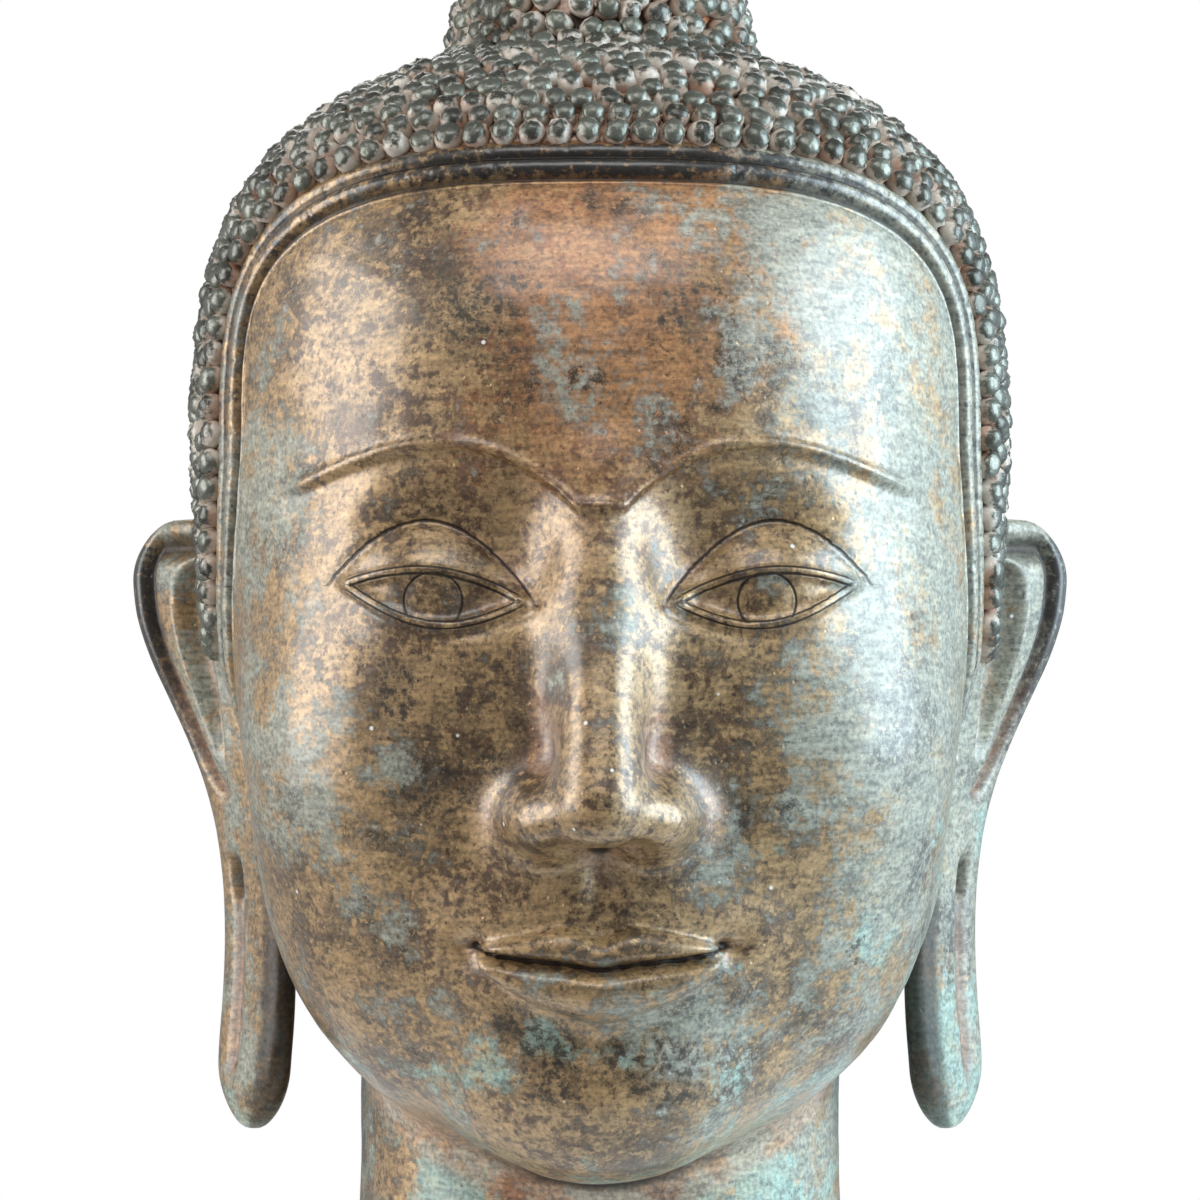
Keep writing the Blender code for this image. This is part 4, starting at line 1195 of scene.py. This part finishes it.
    # Heights of the fine relief, in metres
    pitted = node(tree, "MapRange", node(tree, "TexVoronoi", place, 130), 0.14, 0.04, **SOFT)
    waves = grain(tree, 7, 2)
    relief = weighed(tree, 0.0, (speck, 0.00022), (grit, 0.00007), (brushed, 0.00006), (waves, 0.00045))
    relief = weighed(tree, relief, (lines, -0.0005), (pitted, -0.00025))
    tree.links.new(node(tree, "Bump", 1.0, 1.0, None, relief), shader["Normal"])
    return material


def rubbed_bronze():
    """The curls."""
    # Cast bronze, rubbed on the crowns of the curls: dark, greenish and glossy there with sharp glints,
    # and matt with pinkish earth down their sides and between them, turning to umber at their feet as
    # painted shade
    name = "Cast bronze, rubbed dark tips and dusty roots"
    if name in bpy.data.materials:
        return bpy.data.materials[name]
    paint = paints()
    material, tree, shader = new_material(name)
    curl = node(tree, "Attribute", attribute_name="curl", output=1)
    level, chance = (node(tree, "SeparateXYZ", curl, output=axis) for axis in (0, 1))
    speck = grain(tree, 1.6, 5, 0.65)
    cloud = grain(tree, 16, 5)
    worn = weighed(tree, level, (speck, 0.9), (cloud, 0.9), (chance, 0.25))
    bare = node(tree, "MapRange", worn, 1.575, 1.825, **SOFT)
    mossy = node(tree, "Math", chance, 0.5, operation="MULTIPLY")
    tip = node(tree, "Mix", mossy, paint["tip"], paint["film"], **RGBA)
    earthy = node(tree, "MapRange", cloud, 0.42, 0.62, **SOFT)
    root = node(tree, "Mix", earthy, paint["ash"], paint["dust"], **RGBA)
    # Umber at the very feet of the curls, down in the gaps: painted shade
    root_shade = node(tree, "MapRange", level, 0.35, -0.05, **SOFT)
    root = node(tree, "Mix", root_shade, root, paint["umber"], **RGBA)
    tree.links.new(node(tree, "Mix", bare, root, tip, **RGBA), shader["Base Color"])
    tree.links.new(node(tree, "MapRange", bare, 0.0, 1.0, 0.75, 0.20), shader["Roughness"])
    tree.links.new(node(tree, "MapRange", bare, 0.0, 1.0, 0.05, 0.55), shader["Metallic"])
    shader["Coat Weight"].default_value = 0.45
    shader["Coat Roughness"].default_value = 0.18
    relief = weighed(tree, 0.0, (speck, 0.0006))
    tree.links.new(node(tree, "Bump", 1.0, 1.0, None, relief), shader["Normal"])
    return material


def matt_paint():
    """The floor."""
    # Matt white paint: even, pale and without gloss
    material, _, shader = new_material("Matt white floor paint")
    shader["Base Color"].default_value = (*linear("#f2f1ef"), 1)
    shader["Roughness"].default_value = 0.9
    return material


def softbox(name, place, size, power, colour, aim):
    """A large rectangular light that faces a point."""
    light = bpy.data.lights.new(name, "AREA")
    light.shape = "RECTANGLE"
    light.size, light.size_y = size
    light.energy = power
    light.color = colour
    lamp = bpy.data.objects.new(name, light)
    lamp.location = place
    lamp.rotation_euler = (Vector(aim) - Vector(place)).to_track_quat("-Z", "Y").to_euler()
    bpy.context.scene.collection.objects.link(lamp)


class BUDDHA_OT_stage(Operator):
    """Sets the pale floor, the softboxes, the white room and the camera"""

    bl_idname = "buddha.stage"
    bl_label = "Soft studio"

    def execute(self, context):
        studio = context.scene.buddha_studio
        builder = bmesh.new()
        bmesh.ops.create_circle(builder, cap_ends=True, segments=128, radius=studio.floor_radius)
        mesh = bpy.data.meshes.new("floor")
        builder.to_mesh(mesh)
        builder.free()
        floor = bpy.data.objects.new("floor", mesh)
        context.scene.collection.objects.link(floor)
        mesh.materials.append(matt_paint())

        aim = (0, 0, AIM_HEIGHT)
        softbox("softbox_right", (1.15, -0.35, 0.62), (0.8, 1.2), studio.right_power, COOL, aim)
        softbox("softbox_left", (-1.15, -0.35, 0.55), (0.7, 1.2), studio.left_power, NEUTRAL, aim)
        softbox("softbox_front", (-0.10, -1.10, 1.60), (1.2, 0.6), studio.front_power, NEUTRAL, aim)
        softbox("softbox_back", (0, 1.2, 1.2), (1.2, 0.8), studio.back_power, WHITE, aim)

        world = bpy.data.worlds.new("White studio")
        context.scene.world = world
        world.use_nodes = True
        tree = world.node_tree
        across = node(tree, "SeparateXYZ", node(tree, "TexCoord", output=0), output=0)
        left = node(tree, "MapRange", across, -0.45, -0.95, studio.room_dark, studio.room_left)
        right = node(tree, "MapRange", across, 0.45, 0.95, studio.room_dark, studio.room_right)
        room = node(tree, "Math", left, right, operation="MAXIMUM")
        seen = node(tree, "LightPath", output=0)
        light = tree.nodes["Background"].inputs
        sky = node(tree, "MapRange", across, 0.40, 0.70, **SOFT)
        sky = node(tree, "Math", sky, seen, operation="SUBTRACT", use_clamp=True)
        tree.links.new(node(tree, "Mix", sky, (*WHITE, 1), (*COOL, 1), **RGBA), light["Color"])
        tree.links.new(node(tree, "Math", seen, room, operation="MAXIMUM"), light["Strength"])
        context.scene.view_settings.view_transform = "Standard"

        lens = bpy.data.cameras.new("camera")
        lens.sensor_width = 36
        lens.lens = 36 * studio.camera_distance / studio.view_width
        camera = bpy.data.objects.new("camera", lens)
        camera.location = (0, -studio.camera_distance, studio.camera_height)
        camera.rotation_euler = (math.radians(90), 0, 0)
        context.scene.collection.objects.link(camera)
        context.scene.camera = camera
        return {"FINISHED"}


class BUDDHA_PT_panel(Panel):
    """Lists the sizes, colours and steps of the bronze head"""

    bl_idname = "BUDDHA_PT_panel"
    bl_label = "Buddha Head"
    bl_space_type = "VIEW_3D"
    bl_region_type = "UI"
    bl_category = "Buddha Head"

    def draw(self, context):
        for group in GROUPS:
            box = self.layout.box()
            for name in GROUPS[group].__annotations__:
                box.prop(getattr(context.scene, group), name)
        for operator in OPERATORS:
            self.layout.operator(operator.bl_idname)


GROUPS = {
    "buddha_sizes": BuddhaHeadSizes,
    "buddha_colours": BuddhaHeadColours,
    "buddha_studio": BuddhaHeadStudio,
}
OPERATORS = (BUDDHA_OT_skin, BUDDHA_OT_band, BUDDHA_OT_ears, BUDDHA_OT_curls, BUDDHA_OT_stage)


def register():
    for name, group in GROUPS.items():
        bpy.utils.register_class(group)
        setattr(bpy.types.Scene, name, PointerProperty(type=group))
    for part in (*OPERATORS, BUDDHA_PT_panel):
        bpy.utils.register_class(part)


def unregister():
    for part in (BUDDHA_PT_panel, *reversed(OPERATORS)):
        bpy.utils.unregister_class(part)
    for name, group in reversed(GROUPS.items()):
        delattr(bpy.types.Scene, name)
        bpy.utils.unregister_class(group)


def main():
    register()
    bpy.ops.buddha.skin()
    bpy.ops.buddha.band()
    bpy.ops.buddha.ears()
    bpy.ops.buddha.curls()
    bpy.ops.buddha.stage()


if __name__ == "__main__":
    main()
